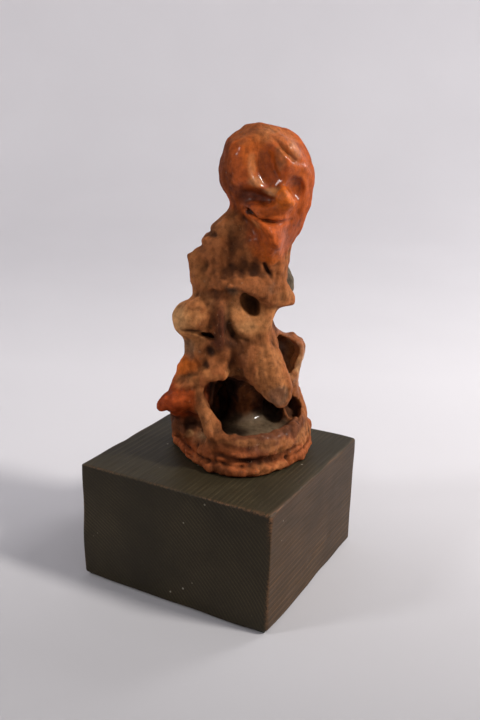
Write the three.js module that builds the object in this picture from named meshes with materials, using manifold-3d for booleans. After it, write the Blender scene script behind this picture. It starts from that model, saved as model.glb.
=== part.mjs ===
// Fired-clay stump figure with a knobbly trunk and a lump of a head, pinned to a dark wood block.
// Millimetres, +Z up. Origin: centre of the underside. The block is square to X and Y, and the
// figure is turned on it, so its own frame is a group: x to its left hand, -y to its front.
import * as THREE from 'three';
import { mergeVertices } from 'three/addons/utils/BufferGeometryUtils.js';
import { RoundedBoxGeometry } from 'three/addons/geometries/RoundedBoxGeometry.js';
import Module from 'manifold-3d';

// Driving dimensions
const BLOCK_SIDE = 152.4;             // six-inch length cut from dressed timber
const BLOCK_HEIGHT = 89;
const BLOCK_EASING = 1.2;             // worn edges
const FELT_THICK = 1;
const FELT_INSET = 3;
const GLUE = 0.3;                     // glue line under the block
const FIGURE_AT = [4, 8];             // where the figure stands on the block
const FIGURE_TURN = 27.43;            // degrees
const CLAY_GAP = 0.3;                 // joint between neighbouring lumps of clay
const SLAB_THICK = 8.6;
const ROD_RADIUS = 3;                 // M6 rod
const BORE_RADIUS = 3.4;
const COUNTERBORE = { radius: 14, depth: 16 };
const PLUG_RADIUS = 8;

const BLOCK_BASE = FELT_THICK + GLUE;
const BLOCK_TOP = BLOCK_BASE + BLOCK_HEIGHT;
const wasm = await Module();
wasm.setup();

// Materials
const finish = (color, roughness, metalness = 0) =>
  new THREE.MeshStandardMaterial({ color, roughness, metalness });
const wood = finish(0x2c2620, 0.6);
const felt = finish(0x23301f, 0.95);
const steel = finish(0x9a9c9e, 0.35, 1);
const plaster = finish(0xd9d4c6, 0.9);
const orange = finish(0xb4511f, 0.32);
const bark = finish(0x8a5230, 0.75);
const tan = finish(0xb98552, 0.6);
const stained = finish(0x5e3c26, 0.7);
const glaze = finish(0x6d6a52, 0.25);

const point = (p) => new THREE.Vector3(p[0], p[1], p[2]);

// Shared vertices only, so that the surface is one closed skin
function skin(geometry) {
  geometry.deleteAttribute('normal');
  geometry.deleteAttribute('uv');
  return mergeVertices(geometry, 1e-3);
}

// Moves every vertex by what the function says
function move(geometry, shift) {
  const position = geometry.attributes.position;
  const p = new THREE.Vector3();
  for (let i = 0; i < position.count; i++) {
    p.fromBufferAttribute(position, i);
    p.add(shift(p, i));
    position.setXYZ(i, p.x, p.y, p.z);
  }
  return geometry;
}

// A thumb print or a pinch: soft push around one point
function press(geometry, at, reach, push) {
  const centre = point(at);
  return move(geometry, (p) => point(push).multiplyScalar(
    Math.exp(-p.distanceToSquared(centre) / reach ** 2)));
}

// Uneven hand-worked surface
function knead(geometry, depth, spacing) {
  geometry.computeVertexNormals();
  const normal = geometry.attributes.normal.clone();
  const k = 2 * Math.PI / spacing;
  move(geometry, (p, i) => new THREE.Vector3().fromBufferAttribute(normal, i).multiplyScalar(
    depth * (Math.sin(k * p.x + 1.7 * Math.cos(k * 0.7 * p.z)) + Math.sin(k * 1.3 * p.z + 2.1)
      * Math.cos(k * 0.9 * p.y)) / 2));
  geometry.deleteAttribute('normal');
  return geometry;
}

// Rolled clay along a spine. A radius is one number, or [across, through] for a flattened roll.
function coil(spine, radii, { rings = 8, sides = 10, fullness = 3, facing = [0, -1, 0] } = {}) {
  const curve = new THREE.CatmullRomCurve3(spine.map(point), false, 'centripetal');
  const geometry = skin(new THREE.SphereGeometry(1, sides, rings));
  return move(geometry, (p) => {
    const along = 1 - 2 * Math.acos(THREE.MathUtils.clamp(p.y, -1, 1)) / Math.PI;
    const t = (along + 1) / 2;
    const ring = Math.hypot(p.x, p.z) || 1;
    const swell = Math.max(0, 1 - Math.abs(along) ** fullness) ** (1 / fullness);
    const step = t * (radii.length - 1);
    const a = [radii[Math.floor(step)]].flat();
    const b = [radii[Math.ceil(step)]].flat();
    const blend = step - Math.floor(step);
    const across = THREE.MathUtils.lerp(a[0], b[0], blend) * swell;
    const through = THREE.MathUtils.lerp(a.at(-1), b.at(-1), blend) * swell;
    const tangent = curve.getTangentAt(t);
    const front = point(facing).addScaledVector(tangent, -point(facing).dot(tangent)).normalize();
    const side = new THREE.Vector3().crossVectors(tangent, front);
    const to = curve.getPointAt(t).addScaledVector(side, across * p.x / ring)
      .addScaledVector(front, through * p.z / ring);
    return to.sub(p);
  });
}

// A ball of clay, squashed to three radii
function lump(centre, radii, { sides = 12, rings = 8, tilt = 0 } = {}) {
  const geometry = skin(new THREE.SphereGeometry(1, sides, rings)).rotateX(Math.PI / 2);
  return geometry.scale(...radii).rotateY(tilt).translate(...centre);
}

// A closed roll: radius and height may change round the ring
function ring(outline, radius, height, { turns = 36, sides = 8, inset = 0 } = {}) {
  const path = new THREE.CatmullRomCurve3(outline.map(([x, y]) => point([x, y, 0])), true);
  const geometry = skin(new THREE.TorusGeometry(1, 0.25, sides, turns));
  return move(geometry, (p) => {
    const u = (Math.atan2(p.y, p.x) / (2 * Math.PI) + 1) % 1;
    const out = (Math.hypot(p.x, p.y) - 1) / 0.25;
    const on = path.getPointAt(u);
    const tangent = path.getTangentAt(u);
    const away = new THREE.Vector3(tangent.y, -tangent.x, 0);
    on.addScaledVector(away, radius(u) * out - inset);
    on.z = height(u) + radius(u) * p.z / 0.25;
    return on.sub(p);
  });
}

// Geometry to solid and back
function solid(geometry) {
  const flat = geometry.index ? geometry : mergeVertices(geometry, 1e-3);
  return new wasm.Manifold(new wasm.Mesh({
    numProp: 3,
    vertProperties: new Float32Array(flat.attributes.position.array),
    triVerts: new Uint32Array(flat.index.array),
  }));
}

function shape(body) {
  const mesh = body.getMesh();
  const geometry = new THREE.BufferGeometry();
  geometry.setAttribute('position', new THREE.BufferAttribute(mesh.vertProperties, 3));
  geometry.setIndex(new THREE.BufferAttribute(mesh.triVerts, 1));
  return geometry;
}

// The same lump, one joint width bigger all over
function grown(geometry, by = CLAY_GAP) {
  const bigger = geometry.clone();
  bigger.computeVertexNormals();
  const normal = bigger.attributes.normal.clone();
  move(bigger, (p, i) => new THREE.Vector3().fromBufferAttribute(normal, i).multiplyScalar(by));
  bigger.deleteAttribute('normal');
  return solid(bigger);
}

function place(group, name, geometry, material) {
  geometry.computeBoundingBox();
  const centre = geometry.boundingBox.getCenter(new THREE.Vector3()).round();
  geometry.translate(-centre.x, -centre.y, -centre.z);
  geometry.computeVertexNormals();
  const mesh = new THREE.Mesh(geometry, material);
  mesh.name = name;
  mesh.position.copy(centre);
  group.add(mesh);
}

// A straight round bar or hole, standing on z
function rod(radius, from, to, sides = 24) {
  return skin(new THREE.CylinderGeometry(radius, radius, to - from, sides))
    .rotateX(Math.PI / 2).translate(0, 0, (from + to) / 2);
}

const object = new THREE.Group();

// ---- Wood block and its fixings ----
const sheet = skin(new THREE.BoxGeometry(BLOCK_SIDE - 2 * FELT_INSET, BLOCK_SIDE - 2 * FELT_INSET,
  FELT_THICK)).translate(0, 0, FELT_THICK / 2);
place(object, 'base_felt', sheet, felt);

const fixings = new THREE.Group();
fixings.position.set(...FIGURE_AT, 0);
object.add(fixings);
const boreTop = BLOCK_BASE + COUNTERBORE.depth;
const [fx, fy] = FIGURE_AT;
const box = skin(new RoundedBoxGeometry(BLOCK_SIDE, BLOCK_SIDE, BLOCK_HEIGHT, 1, BLOCK_EASING))
  .translate(0, 0, BLOCK_BASE + BLOCK_HEIGHT / 2);
const block = solid(box)
  .subtract(solid(rod(BORE_RADIUS, 0, BLOCK_TOP + 1).translate(fx, fy, 0)))
  .subtract(solid(rod(COUNTERBORE.radius, 0, boreTop).translate(fx, fy, 0)));
place(object, 'plinth_block', shape(block), wood);

const rodTop = BLOCK_TOP + SLAB_THICK - 2;
place(fixings, 'mounting_stud', rod(ROD_RADIUS, boreTop - 10, rodTop), steel);
const washerProfile = [[BORE_RADIUS, 0], [9, 0], [9, 1.6], [BORE_RADIUS, 1.6], [BORE_RADIUS, 0]];
const lathe = (profile, sides = 24) => skin(new THREE.LatheGeometry(
  profile.map(([r, z]) => new THREE.Vector2(r, z)), sides)).rotateX(Math.PI / 2);
place(fixings, 'stud_washer', lathe(washerProfile).translate(0, 0, boreTop - GLUE - 1.6), steel);

const hexagon = new THREE.Shape();
for (let i = 0; i < 6; i++) {
  const a = i * Math.PI / 3;
  hexagon[i ? 'lineTo' : 'moveTo'](5.77 * Math.cos(a), 5.77 * Math.sin(a));
}
hexagon.closePath();
hexagon.holes.push(new THREE.Path().absarc(0, 0, BORE_RADIUS, 0, 2 * Math.PI, true));
const nut = skin(new THREE.ExtrudeGeometry(hexagon, { depth: 5, bevelEnabled: false,
  curveSegments: 24 }));
place(fixings, 'stud_nut', nut.translate(0, 0, boreTop - 7.3), steel);

const plugProfile = [[BORE_RADIUS, GLUE], [PLUG_RADIUS, GLUE], [PLUG_RADIUS, SLAB_THICK - 0.4],
  [0, SLAB_THICK - 0.4], [0, SLAB_THICK - 1.6], [BORE_RADIUS, SLAB_THICK - 1.6],
  [BORE_RADIUS, GLUE]];
place(fixings, 'anchor_plug', lathe(plugProfile).translate(0, 0, BLOCK_TOP), plaster);

// ---- Clay figure ----
const figure = new THREE.Group();
figure.position.set(...FIGURE_AT, BLOCK_TOP);
figure.rotation.z = THREE.MathUtils.degToRad(FIGURE_TURN);
object.add(figure);

// Outline of the foot, counter-clockwise seen from above
const FOOT = [[60, 14], [44, 42], [8, 51], [-22, 46], [-44, 31], [-50, 10], [-41, -12],
  [-24, -41], [-3, -54], [15, -53], [37, -37], [54, -12]];
const footCurve = new THREE.CatmullRomCurve3(FOOT.map(([x, y]) => point([x, y, 0])), true);
const footShape = new THREE.Shape(footCurve.getPoints(28).slice(0, -1).map((p) =>
  new THREE.Vector2(p.x, p.y)));
const slab = skin(new THREE.ExtrudeGeometry(footShape, { depth: SLAB_THICK - 5, bevelSize: 2.2,
  bevelThickness: 2.2, bevelOffset: -2.2, bevelSegments: 1, curveSegments: 1 }));
slab.translate(0, 0, 2.2 + GLUE);
const footSlab = shape(solid(slab).subtract(solid(rod(PLUG_RADIUS + CLAY_GAP, -1, SLAB_THICK + 2))));

// The roll on the slab swells and climbs on the right-hand side
const turn = 2 * Math.PI;
const rollHeight = (u) => 13.2 + 1.6 * Math.cos(turn * u) + 0.6 * Math.sin(3 * turn * u);
const rollRadius = (u) => 5 + 0.7 * Math.cos(turn * u) + 0.4 * Math.sin(5 * turn * u);
const footCoil = ring(FOOT, rollRadius, rollHeight, { inset: 6, turns: 24, sides: 7 });

// Floor of the hollow: a shallow glazed dish
const floorProfile = [[0, 9.4], [38, 9.4], [43, 14], [40, 18], [26, 15.5], [0, 14]];
const basinFloor = lathe(floorProfile, 24).scale(1.02, 0.95, 1).translate(4, 0, 0);

// Wall behind the hollow: a C seen from above, leaning in as it rises
const wallArc = new THREE.Shape();
wallArc.absellipse(0, 0, 46, 41, -0.35, Math.PI + 0.75, false);
wallArc.absellipse(2, 0, 35, 29, Math.PI + 0.75, -0.35, true);
wallArc.closePath();
const backWall = move(skin(new THREE.ExtrudeGeometry(wallArc, { depth: 52, steps: 2,
  bevelEnabled: false, curveSegments: 8 })), (p) => {
  const lean = 1 - 0.3 * (p.z / 52) ** 1.4;
  return new THREE.Vector3(p.x * (lean - 1), p.y * (lean - 1), 0);
}).translate(2, 4, 18);

// Thin pouch: an egg scooped out from the front
const pouch = lump([30, 6, 66], [17, 16, 24], { sides: 14, rings: 9, tilt: 0.1 });
press(pouch, [47, 2, 81], 11, [5, -2, 4]);
press(pouch, [22, 9, 88], 10, [-2, 0, 5]);
press(pouch, [44, 4, 50], 10, [-1, 0, -4]);
const scoop = lump([28, -7, 68], [15.5, 20, 23], { sides: 14, rings: 9, tilt: 0.1 });
press(scoop, [44, 0, 80], 10, [4, 0, 3]);
const shellWall = shape(solid(pouch).subtract(solid(scoop)));
const shellRoom = grown(pouch).subtract(grown(scoop, -CLAY_GAP));

// Cup on the chest with a deep thumb hole
const cup = lump([7, -17, 112], [18, 16, 15], { sides: 16, rings: 11 });
press(cup, [11, -32, 116], 9, [0, 15, 0]);
press(cup, [-4, -30, 110], 7, [-1, -2, 0]);

const head = lump([16, -1, 207], [31, 27, 31], { sides: 18, rings: 12 });
press(head, [-12, -4, 186], 14, [-2, 0, -1]);         // flat, upright left side
press(head, [-14, 0, 226], 15, [-3, 0, 3]);
press(head, [44, -4, 188], 18, [5, 0, -3]);           // heavy right jaw
press(head, [4, 0, 238], 12, [-1, 0, 2]);
press(head, [14, -30, 213], 11, [0, 9, 0]);           // oval hollow
press(head, [36, -27, 201], 8, [0, 7, 0]);            // crater
press(head, [10, -30, 190], 12, [0, 6, 0]);           // recess over the mouth

const eyeRing = move(skin(new THREE.TorusGeometry(1, 0.24, 5, 16)), (p) => {
  const across = 10 * p.x;
  const up = 14 * p.y;
  const tilt = 0.22;
  const x = 15 + across * Math.cos(tilt) + up * Math.sin(tilt) * -1;
  const z = 209.5 + up * Math.cos(tilt) + across * Math.sin(tilt) * -1;
  const y = -25.5 + 0.012 * (up * up) + 0.008 * across * across - 11 * p.z;
  return new THREE.Vector3(x, y, z).sub(p);
});

// Every lump, roll and sheet of the figure. A piece earlier in the list keeps its own shape
// and the later ones are cut back round it.
const roll = (spine, radii, options) => knead(coil(spine, radii, options), 0.7, 17);
const ball = (centre, radii, options) => knead(lump(centre, radii, options), 0.8, 19);
const clay = [
  ['nose_knob', lump([29, -30, 193], [8, 8, 8], { sides: 12, rings: 8 }), orange],
  ['brow_fold', roll([[16, -23, 227], [22, -27, 218], [25, -28, 207], [26, -26, 200]],
    [4, 4.6, 4, 3], { rings: 8, sides: 8 }), orange],
  ['eye_ring', eyeRing, orange],
  ['upper_lip', roll([[0, -17, 186], [12, -25, 184], [22, -28, 182], [33, -24, 182]],
    [4.5, 5, 5, 4], { rings: 8, sides: 8 }), orange],
  ['chin_tongue', roll([[8, -20, 178], [17, -26, 172], [20, -27, 162], [17, -27, 152]],
    [6, 8, 8, 4]), orange],
  ['head', knead(head, 0.8, 24), orange],
  ['neck', roll([[25, 0, 200], [24, -1, 184], [19, 0, 166], [15, 2, 146]],
    [20, 22, 20, 17], { sides: 14, rings: 8 }), orange],
  ['shoulder_knob', ball([-9, -5, 166], [13.5, 13, 11]), bark],
  ['left_spur', roll([[-26, -6, 122], [-26, -7, 134], [-28, -8, 143], [-36, -8, 145.5]],
    [7, 8, 8, 3]), bark],
  ['shoulder_ledge', ball([-16, -7, 154], [13, 12, 8]), bark],
  ['rear_knob', ball([31, 20, 122], [10, 11, 14]), glaze],
  ['left_bulb', knead(lump([-30, -20, 106.5], [17.5, 15, 14], { sides: 14, rings: 9,
    tilt: -0.2 }), 0.5, 26), tan],
  ['lower_egg', ball([-28, -14, 86], [11, 12, 11]), tan],
  ['cup', cup, tan],
  ['centre_ridge', roll([[-12, -28, 124], [-13, -33, 111], [-13, -33, 96], [-10, -29, 84]],
    [4, 5, 5, 4], { sides: 8 }), bark],
  ['hem', roll([[-20, 20, 120], [-27, 2, 124], [-23, -14, 127], [-8, -25, 130], [12, -26, 129], [25, -18, 124],
    [40, -11, 117]], [5, 5, 5, 6, 6.5, 7, 3], { rings: 13, sides: 8, facing: [0, 0, 1] }), bark],
  ['upper_trunk', roll([[1, 3, 106], [0, 3, 126], [3, 3, 146], [7, 3, 162], [10, 3, 178]],
    [[28, 25], [30, 27], [32, 27], [29, 25], [24, 20]], { rings: 9, sides: 14 }), bark],
  ['root_limb', roll([[14, -8, 102], [18, -17, 88], [22, -22, 76], [28, -26, 62], [37, -29, 43]],
    [9, 10.5, 12, 12, 8], { rings: 10, sides: 11 }), tan],
  ['knuckle', ball([-16, -21, 82], [13, 12, 13]), stained],
  ['shell_wall', shellWall, glaze, shellRoom],
  ['leaf', roll([[-20, -18, 81], [-31, -21, 72], [-43, -18, 57]], [[7, 6], [10, 7], [7, 5]]), orange],
  ['horn_tip', coil([[-46, -27, 46], [-57, -28.5, 41]], [9, 2], { rings: 6, fullness: 4 }), orange],
  ['horn_body', roll([[-22, -17, 52], [-36, -25, 49], [-52, -28, 44]], [11, 13, 10]), orange],
  ['pinch_fold', roll([[-45, -17, 57], [-35, -24, 60], [-24, -27, 66]], [5, 6, 6], { sides: 8 }), tan],
  ['left_pillar', roll([[-30, -24, 66], [-25, -30, 52], [-21, -35, 38], [-13, -41, 24],
    [-2, -43, 17]], [7, 6, 6, 6.5, 5], { rings: 10, sides: 9 }), stained],
  ['basin_lip', roll([[-9, -41, 17], [8, -43, 17], [22, -39, 18], [36, -29, 19], [45, -14, 22],
    [49, 2, 25]], [5, 6.5, 6.5, 6.5, 6, 6], { rings: 12, sides: 8 }), tan],
  ['right_ear', roll([[48, 12, 14], [49, 8, 28], [45, 9, 42], [39, 8, 56]],
    [[5, 13], [4, 12], [4, 10], [5, 8]], { rings: 10, sides: 10 }), bark],
  ['side_wall', press(roll([[-34, -12, 48], [-37, -15, 32], [-36, -20, 14]], [10, 10, 11]),
    [-30, -26, 28], 8, [0, 6, 0]), stained],
  ['inner_column', roll([[5, 14, 17], [8, 11, 38], [4, 8, 64]], [15, 12, 15]), stained],
  ['rear_root', roll([[8, 22, 84], [12, 36, 56], [20, 43, 22]], [11, 10, 12]), bark],
  ['rear_buttress', roll([[-10, 20, 82], [-24, 30, 54], [-33, 32, 21]], [10, 11, 12]), bark],
  ['rear_ridge', roll([[2, 24, 168], [-4, 27, 142], [-2, 27, 112], [6, 24, 88]],
    [6, 8, 8, 6]), bark],
  ['lower_torso', roll([[0, 3, 58], [-2, 3, 78], [0, 3, 114]], [[33, 30], [32, 28], [25, 25]],
    { rings: 8, sides: 14 }), stained],
  ['foot_slab', footSlab, orange],
  ['foot_coil', footCoil, orange],
  ['basin_floor', basinFloor, glaze],
  ['back_wall', knead(backWall, 0.8, 23), stained],
];

const inTheWay = clay.map(([, geometry, , room]) => {
  geometry.computeBoundingBox();
  return { bounds: geometry.boundingBox.clone().expandByScalar(CLAY_GAP), body: room };
});
clay.forEach(([name, geometry, material], i) => {
  let body = solid(geometry);
  for (let j = 0; j < i; j++) {
    if (!inTheWay[j].bounds.intersectsBox(inTheWay[i].bounds)) continue;
    inTheWay[j].body ??= grown(clay[j][1]);
    body = body.subtract(inTheWay[j].body);
  }
  const pieces = body.decompose().sort((a, b) => b.volume() - a.volume());
  place(figure, name, shape(pieces[0]), material);
});

export default object;
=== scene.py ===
"""Looks of the fired-clay stump figure on its dark wood block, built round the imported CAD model.

The clay is worked as one distance field in the figure's own frame: each CAD lump is read as a level
set, the lumps are blended as wet clay blends, tooled, then cut apart again into named pieces."""
import math

import bpy
import bmesh
import numpy as np
import openvdb as vdb
from mathutils import Matrix, Vector


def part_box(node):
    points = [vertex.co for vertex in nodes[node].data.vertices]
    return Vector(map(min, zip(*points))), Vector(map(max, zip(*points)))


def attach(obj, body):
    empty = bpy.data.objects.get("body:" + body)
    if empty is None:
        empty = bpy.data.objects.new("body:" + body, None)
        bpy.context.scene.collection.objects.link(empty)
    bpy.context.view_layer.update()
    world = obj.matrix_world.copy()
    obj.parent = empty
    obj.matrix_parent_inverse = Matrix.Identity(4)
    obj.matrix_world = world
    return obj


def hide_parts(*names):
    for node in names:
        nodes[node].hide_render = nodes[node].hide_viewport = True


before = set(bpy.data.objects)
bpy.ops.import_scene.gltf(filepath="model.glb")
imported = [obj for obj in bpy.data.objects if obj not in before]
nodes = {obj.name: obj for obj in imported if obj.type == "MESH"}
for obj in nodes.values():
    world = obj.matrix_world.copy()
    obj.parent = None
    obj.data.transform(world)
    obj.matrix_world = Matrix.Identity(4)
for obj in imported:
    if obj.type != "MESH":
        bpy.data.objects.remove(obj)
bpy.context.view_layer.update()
rng = np.random.default_rng(7)

# ---- The figure's own frame: mm, x to the right of its front, -y to its front, z from the block ----
block_lo, block_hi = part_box("plinth_block")
FIGURE_AT = (0.004, 0.008)
FIGURE_TURN = math.radians(27.43)
origin = np.array([FIGURE_AT[0], FIGURE_AT[1], block_hi.z])
ca, sa = math.cos(FIGURE_TURN), math.sin(FIGURE_TURN)
TO_ROW = np.array([[ca, -sa, 0], [sa, ca, 0], [0, 0, 1]])

VOXEL = 0.8      # mm
BAND = 12.0                             # mm of true distance each side of a surface
MARGIN = 4.0                            # mm worked on past the edge of an added or cut shape
BEND = 3                                # steps between the points of a line
CORNER = 3.5                            # mm, the radius that corners between lumps are filled to
INSIDE = 0.2                            # mm that the clay keeps within the CAD lumps' box
CRUMB = 40                              # cubic cells; smaller shells are dropped
BARE_GLOSS = 0.12                       # gloss of clay that isn't waxed, wet or glazed
MINGLE = 1.8                            # mm over which neighbouring lumps' tints run together
SEAM = 1.6                              # mm that a piece reaches under its neighbours
STROKE, CRACK, GRIT, PIT = 0.95, 1.0, 0.42, 1.2      # mm of relief on the clay's skin

# Visual pieces: the CAD nodes each stands for, and a material slot, which is not used
PIECES = {
    "head_mass": (["head", "eye_ring", "brow_fold", "upper_lip"], "clay_orange"),
    "nose": (["nose_knob"], "clay_orange"),
    "neck_and_chin": (["neck", "chin_tongue"], "clay_orange"),
    "trunk": (["upper_trunk", "shoulder_knob", "shoulder_ledge", "rear_ridge"], "clay_bark"),
    "spur": (["left_spur"], "clay_bark"),
    "rear_lump": (["rear_knob"], "clay_bark"),
    "hem_and_flange": (["hem"], "clay_bark"),
    "bulb": (["left_bulb"], "clay_tan"),
    "egg": (["lower_egg"], "clay_tan"),
    "thumbed_cup": (["cup"], "clay_tan"),
    "ridge_and_knuckle": (["centre_ridge", "knuckle"], "clay_stained"),
    "torso": (["lower_torso"], "clay_stained"),
    "limb": (["root_limb"], "clay_tan"),
    "pouch": (["shell_wall"], "clay_glaze"),
    "leaf_lobe": (["leaf"], "clay_orange"),
    "horn": (["horn_body", "horn_tip"], "clay_orange"),
    "lip_band": (["pinch_fold", "left_pillar", "basin_lip"], "clay_tan"),
    "side": (["side_wall"], "clay_stained"),
    "ear": (["right_ear"], "clay_bark"),
    "back": (["back_wall", "rear_root", "rear_buttress"], "clay_stained"),
    "column": (["inner_column"], "clay_stained"),
    "dish": (["basin_floor"], "clay_glaze"),
    "foot": (["foot_slab", "foot_coil"], "clay_orange"),
}
CLAY = [n for members, _ in PIECES.values() for n in members]

# Clay colours, linear
RAGGED = 0.5                               # how broken a dab's edge is, where nothing else is given
TINT = {
    "orange": (0.42, 0.078, 0.009), "bright": (0.52, 0.115, 0.012), "horn": (0.30, 0.042, 0.005),
    "bark": (0.280, 0.089, 0.026), "tan": (0.46, 0.182, 0.059), "straw": (0.50, 0.265, 0.105),
    # the near-black tint is painted shade, laid in holes and deep hollows; umber, rust and stain are
    # the clay's own colours in most dabs and painted shade in a few
    "stain": (0.105, 0.031, 0.010), "umber": (0.038, 0.0125, 0.0045), "painted_hole_shade": (0.004, 0.0035, 0.003),
    "glaze": (0.155, 0.098, 0.048), "grey": (0.125, 0.098, 0.066), "floor": (0.185, 0.128, 0.076),
    "rust": (0.130, 0.021, 0.004), "foot": (0.28, 0.073, 0.019), "lip": (0.135, 0.041, 0.014),
}
# How each lump is worked: its tint, and in mm how far it is softened, melted in, and grown
LUMPS = {
    "head": ("orange", 4.0, 6.0, 0.4), "eye_ring": ("orange", 1.8, 3.5, 0.0),
    "brow_fold": ("orange", 1.8, 3.5, 0.0), "upper_lip": ("orange", 1.8, 3.5, -1.8),
    "nose_knob": ("bright", 1.4, 3.5, -0.9), "neck": ("orange", 3.0, 9.0, 0.0),
    "chin_tongue": ("orange", 2.6, 9.0, -1.0), "upper_trunk": ("bark", 3.0, 9.0, 0.0),
    "shoulder_knob": ("bark", 1.8, 6.0, 0.0), "shoulder_ledge": ("bark", 1.8, 7.0, 0.0),
    "left_spur": ("bark", 1.8, 6.0, 0.0), "rear_ridge": ("bark", 1.8, 8.0, 0.0),
    "rear_knob": ("grey", 1.8, 3.5, 0.0), "hem": ("bark", 2.6, 10.0, -1.6),
    "left_bulb": ("tan", 1.8, 6.0, 0.0), "lower_egg": ("tan", 1.8, 6.0, 0.0),
    "cup": ("tan", 1.8, 7.0, 0.0), "centre_ridge": ("stain", 1.6, 5.0, -1.6),
    "knuckle": ("bark", 1.8, 8.0, 0.0), "lower_torso": ("stain", 1.8, 9.0, 0.0),
    "root_limb": ("bark", 2.2, 8.0, -1.4), "shell_wall": ("bark", 0.8, 3.0, 0.0),
    "leaf": ("bright", 1.8, 5.0, 0.0), "horn_body": ("horn", 1.8, 4.0, -0.6),
    "horn_tip": ("horn", 1.0, 2.0, 0.5), "pinch_fold": ("bark", 1.6, 6.0, 0.0),
    "left_pillar": ("bark", 1.8, 5.0, -1.2), "basin_lip": ("lip", 1.8, 5.0, -1.6),
    "side_wall": ("stain", 1.8, 6.0, 0.0), "right_ear": ("bark", 1.2, 5.0, 0.0),
    "back_wall": ("bark", 1.8, 9.0, 0.0), "rear_root": ("bark", 1.8, 8.0, 0.0),
    "rear_buttress": ("bark", 1.8, 8.0, 0.0), "inner_column": ("stain", 1.8, 9.0, 1.0),
    "basin_floor": ("glaze", 1.4, 3.5, 2.0), "foot_slab": ("foot", 1.0, 3.5, 0.0),
    "foot_coil": ("foot", 1.8, 3.5, 0.0),
}


def local_mesh(name):
    """A CAD node's vertices in the figure's frame, in mm, and its triangles."""
    mesh = nodes[name].data
    co = np.zeros(len(mesh.vertices) * 3, np.float32)
    mesh.vertices.foreach_get("co", co)
    mesh.calc_loop_triangles()
    tri = np.zeros(len(mesh.loop_triangles) * 3, np.int32)
    mesh.loop_triangles.foreach_get("vertices", tri)
    return (co.reshape(-1, 3) - origin) @ TO_ROW * 1000, tri.reshape(-1, 3)


meshes = {n: local_mesh(n) for n in CLAY}
centre = {n: (p.min(0) + p.max(0)) / 2 for n, (p, _) in meshes.items()}
every = np.concatenate([p for p, _ in meshes.values()])
grid_lo = np.floor(every.min(0) - 6)
shape = np.ceil((every.max(0) + 6 - grid_lo) / VOXEL).astype(int) + 1
axes = [grid_lo[a] + VOXEL * np.arange(shape[a]) for a in range(3)]


def laid_along(values, a):
    """A row of values, laid along one axis of the grid."""
    return values.reshape([-1 if b == a else 1 for b in range(3)])


def near(name, dx=0.0, dy=0.0, dz=0.0):
    """A place given from a node's centre, in the figure's frame."""
    return centre[name] + np.array([dx, dy, dz])


def blur(field, sigma):
    """Gaussian blur of an array; sigma in mm."""
    s = sigma / VOXEL
    reach = max(1, int(math.ceil(2.6 * s)))
    w = np.exp(-0.5 * (np.arange(-reach, reach + 1) / s) ** 2)
    w = (w / w.sum()).astype(np.float32)
    for axis in range(3):
        pad = [(0, 0)] * 3
        pad[axis] = (reach, reach)
        wide = np.pad(field, pad, mode="edge")
        n = field.shape[axis]
        out = np.zeros_like(field)
        for k, wk in enumerate(w):
            cut_out = [slice(None)] * 3
            cut_out[axis] = slice(k, k + n)
            out += wk * wide[tuple(cut_out)]
        field = out
    return field


def level_set(name, soften):
    """Distance to a CAD node on the cells near it, in mm: (where it starts, values)."""
    points, triangles = meshes[name]
    cells = ((points - grid_lo) / VOXEL).astype(np.float32)
    grid = vdb.FloatGrid.createLevelSetFromPolygons(
        cells, triangles=triangles.astype(np.uint32),
        transform=vdb.createLinearTransform(1.0), halfWidth=BAND / VOXEL)
    low = np.maximum(np.floor(cells.min(0)).astype(int) - int(BAND / VOXEL) - 2, 0)
    high = np.minimum(np.ceil(cells.max(0)).astype(int) + int(BAND / VOXEL) + 3, shape)
    values = np.zeros(high - low, np.float32)
    grid.copyToArray(values, ijk=tuple(int(v) for v in low))
    values *= VOXEL
    return low, blur(values, soften) - 0.2 * soften


def smooth_min(a, b, k):
    h = np.maximum(k - np.abs(a - b), 0) / k
    return np.minimum(a, b) - h * h * k / 4


def region(low, high):
    """Slices of the grid between two places, and its coordinates there."""
    i0 = np.clip(np.floor((np.asarray(low) - grid_lo) / VOXEL).astype(int), 0, shape - 1)
    i1 = np.clip(np.ceil((np.asarray(high) - grid_lo) / VOXEL).astype(int) + 1, i0 + 1, shape)
    where = tuple(slice(a, b) for a, b in zip(i0, i1))
    return where, np.meshgrid(*[axes[a][where[a]] for a in range(3)], indexing="ij", sparse=True)


def unit(v):
    v = np.asarray(v, float)
    return v / np.linalg.norm(v)


def turned(at, reach, along, out):
    """Grid slices round a place, and distances there along `along`, across it, and towards `out`."""
    a = unit(along)
    o = unit(np.asarray(out, float) - a * np.dot(out, a))
    where, place = region(np.asarray(at) - reach, np.asarray(at) + reach)
    return where, [sum(t * (c - m) for t, c, m in zip(turn, place, at))
                   for turn in (a, np.cross(a, o), o)]


def oval(at, radii, along=(0, 0, 1), out=(0, -1, 0)):
    """Ellipsoid: radii along `along`, across it, and towards `out`."""
    where, q = turned(at, max(radii) + MARGIN, along, out)
    k0 = np.sqrt(sum((c / r) ** 2 for c, r in zip(q, radii))) + 1e-6
    k1 = np.sqrt(sum((c / r ** 2) ** 2 for c, r in zip(q, radii))) + 1e-6
    return where, k0 * (k0 - 1) / k1


def eased(points):
    """A line through points, divided finely and with its corners rounded."""
    t = np.linspace(0, 1, len(points))
    fine = np.linspace(0, 1, (len(points) - 1) * BEND + 1)
    knots = np.stack([np.interp(fine, t, points[:, a]) for a in range(3)], 1)
    if len(points) > 2:
        for _ in range(BEND - 1):
            knots[1:-1] = 0.25 * knots[:-2] + 0.5 * knots[1:-1] + 0.25 * knots[2:]
    return knots


def off_segment(place, a, b):
    """How far along a segment places lie (0 to 1), and the way from it to them."""
    ab = b - a
    h = sum((c - p) * s for c, p, s in zip(place, a, ab)) / (ab @ ab + 1e-9)
    h = np.clip(h, 0, 1)
    return h, [c - p - h * s for c, p, s in zip(place, a, ab)]


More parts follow.
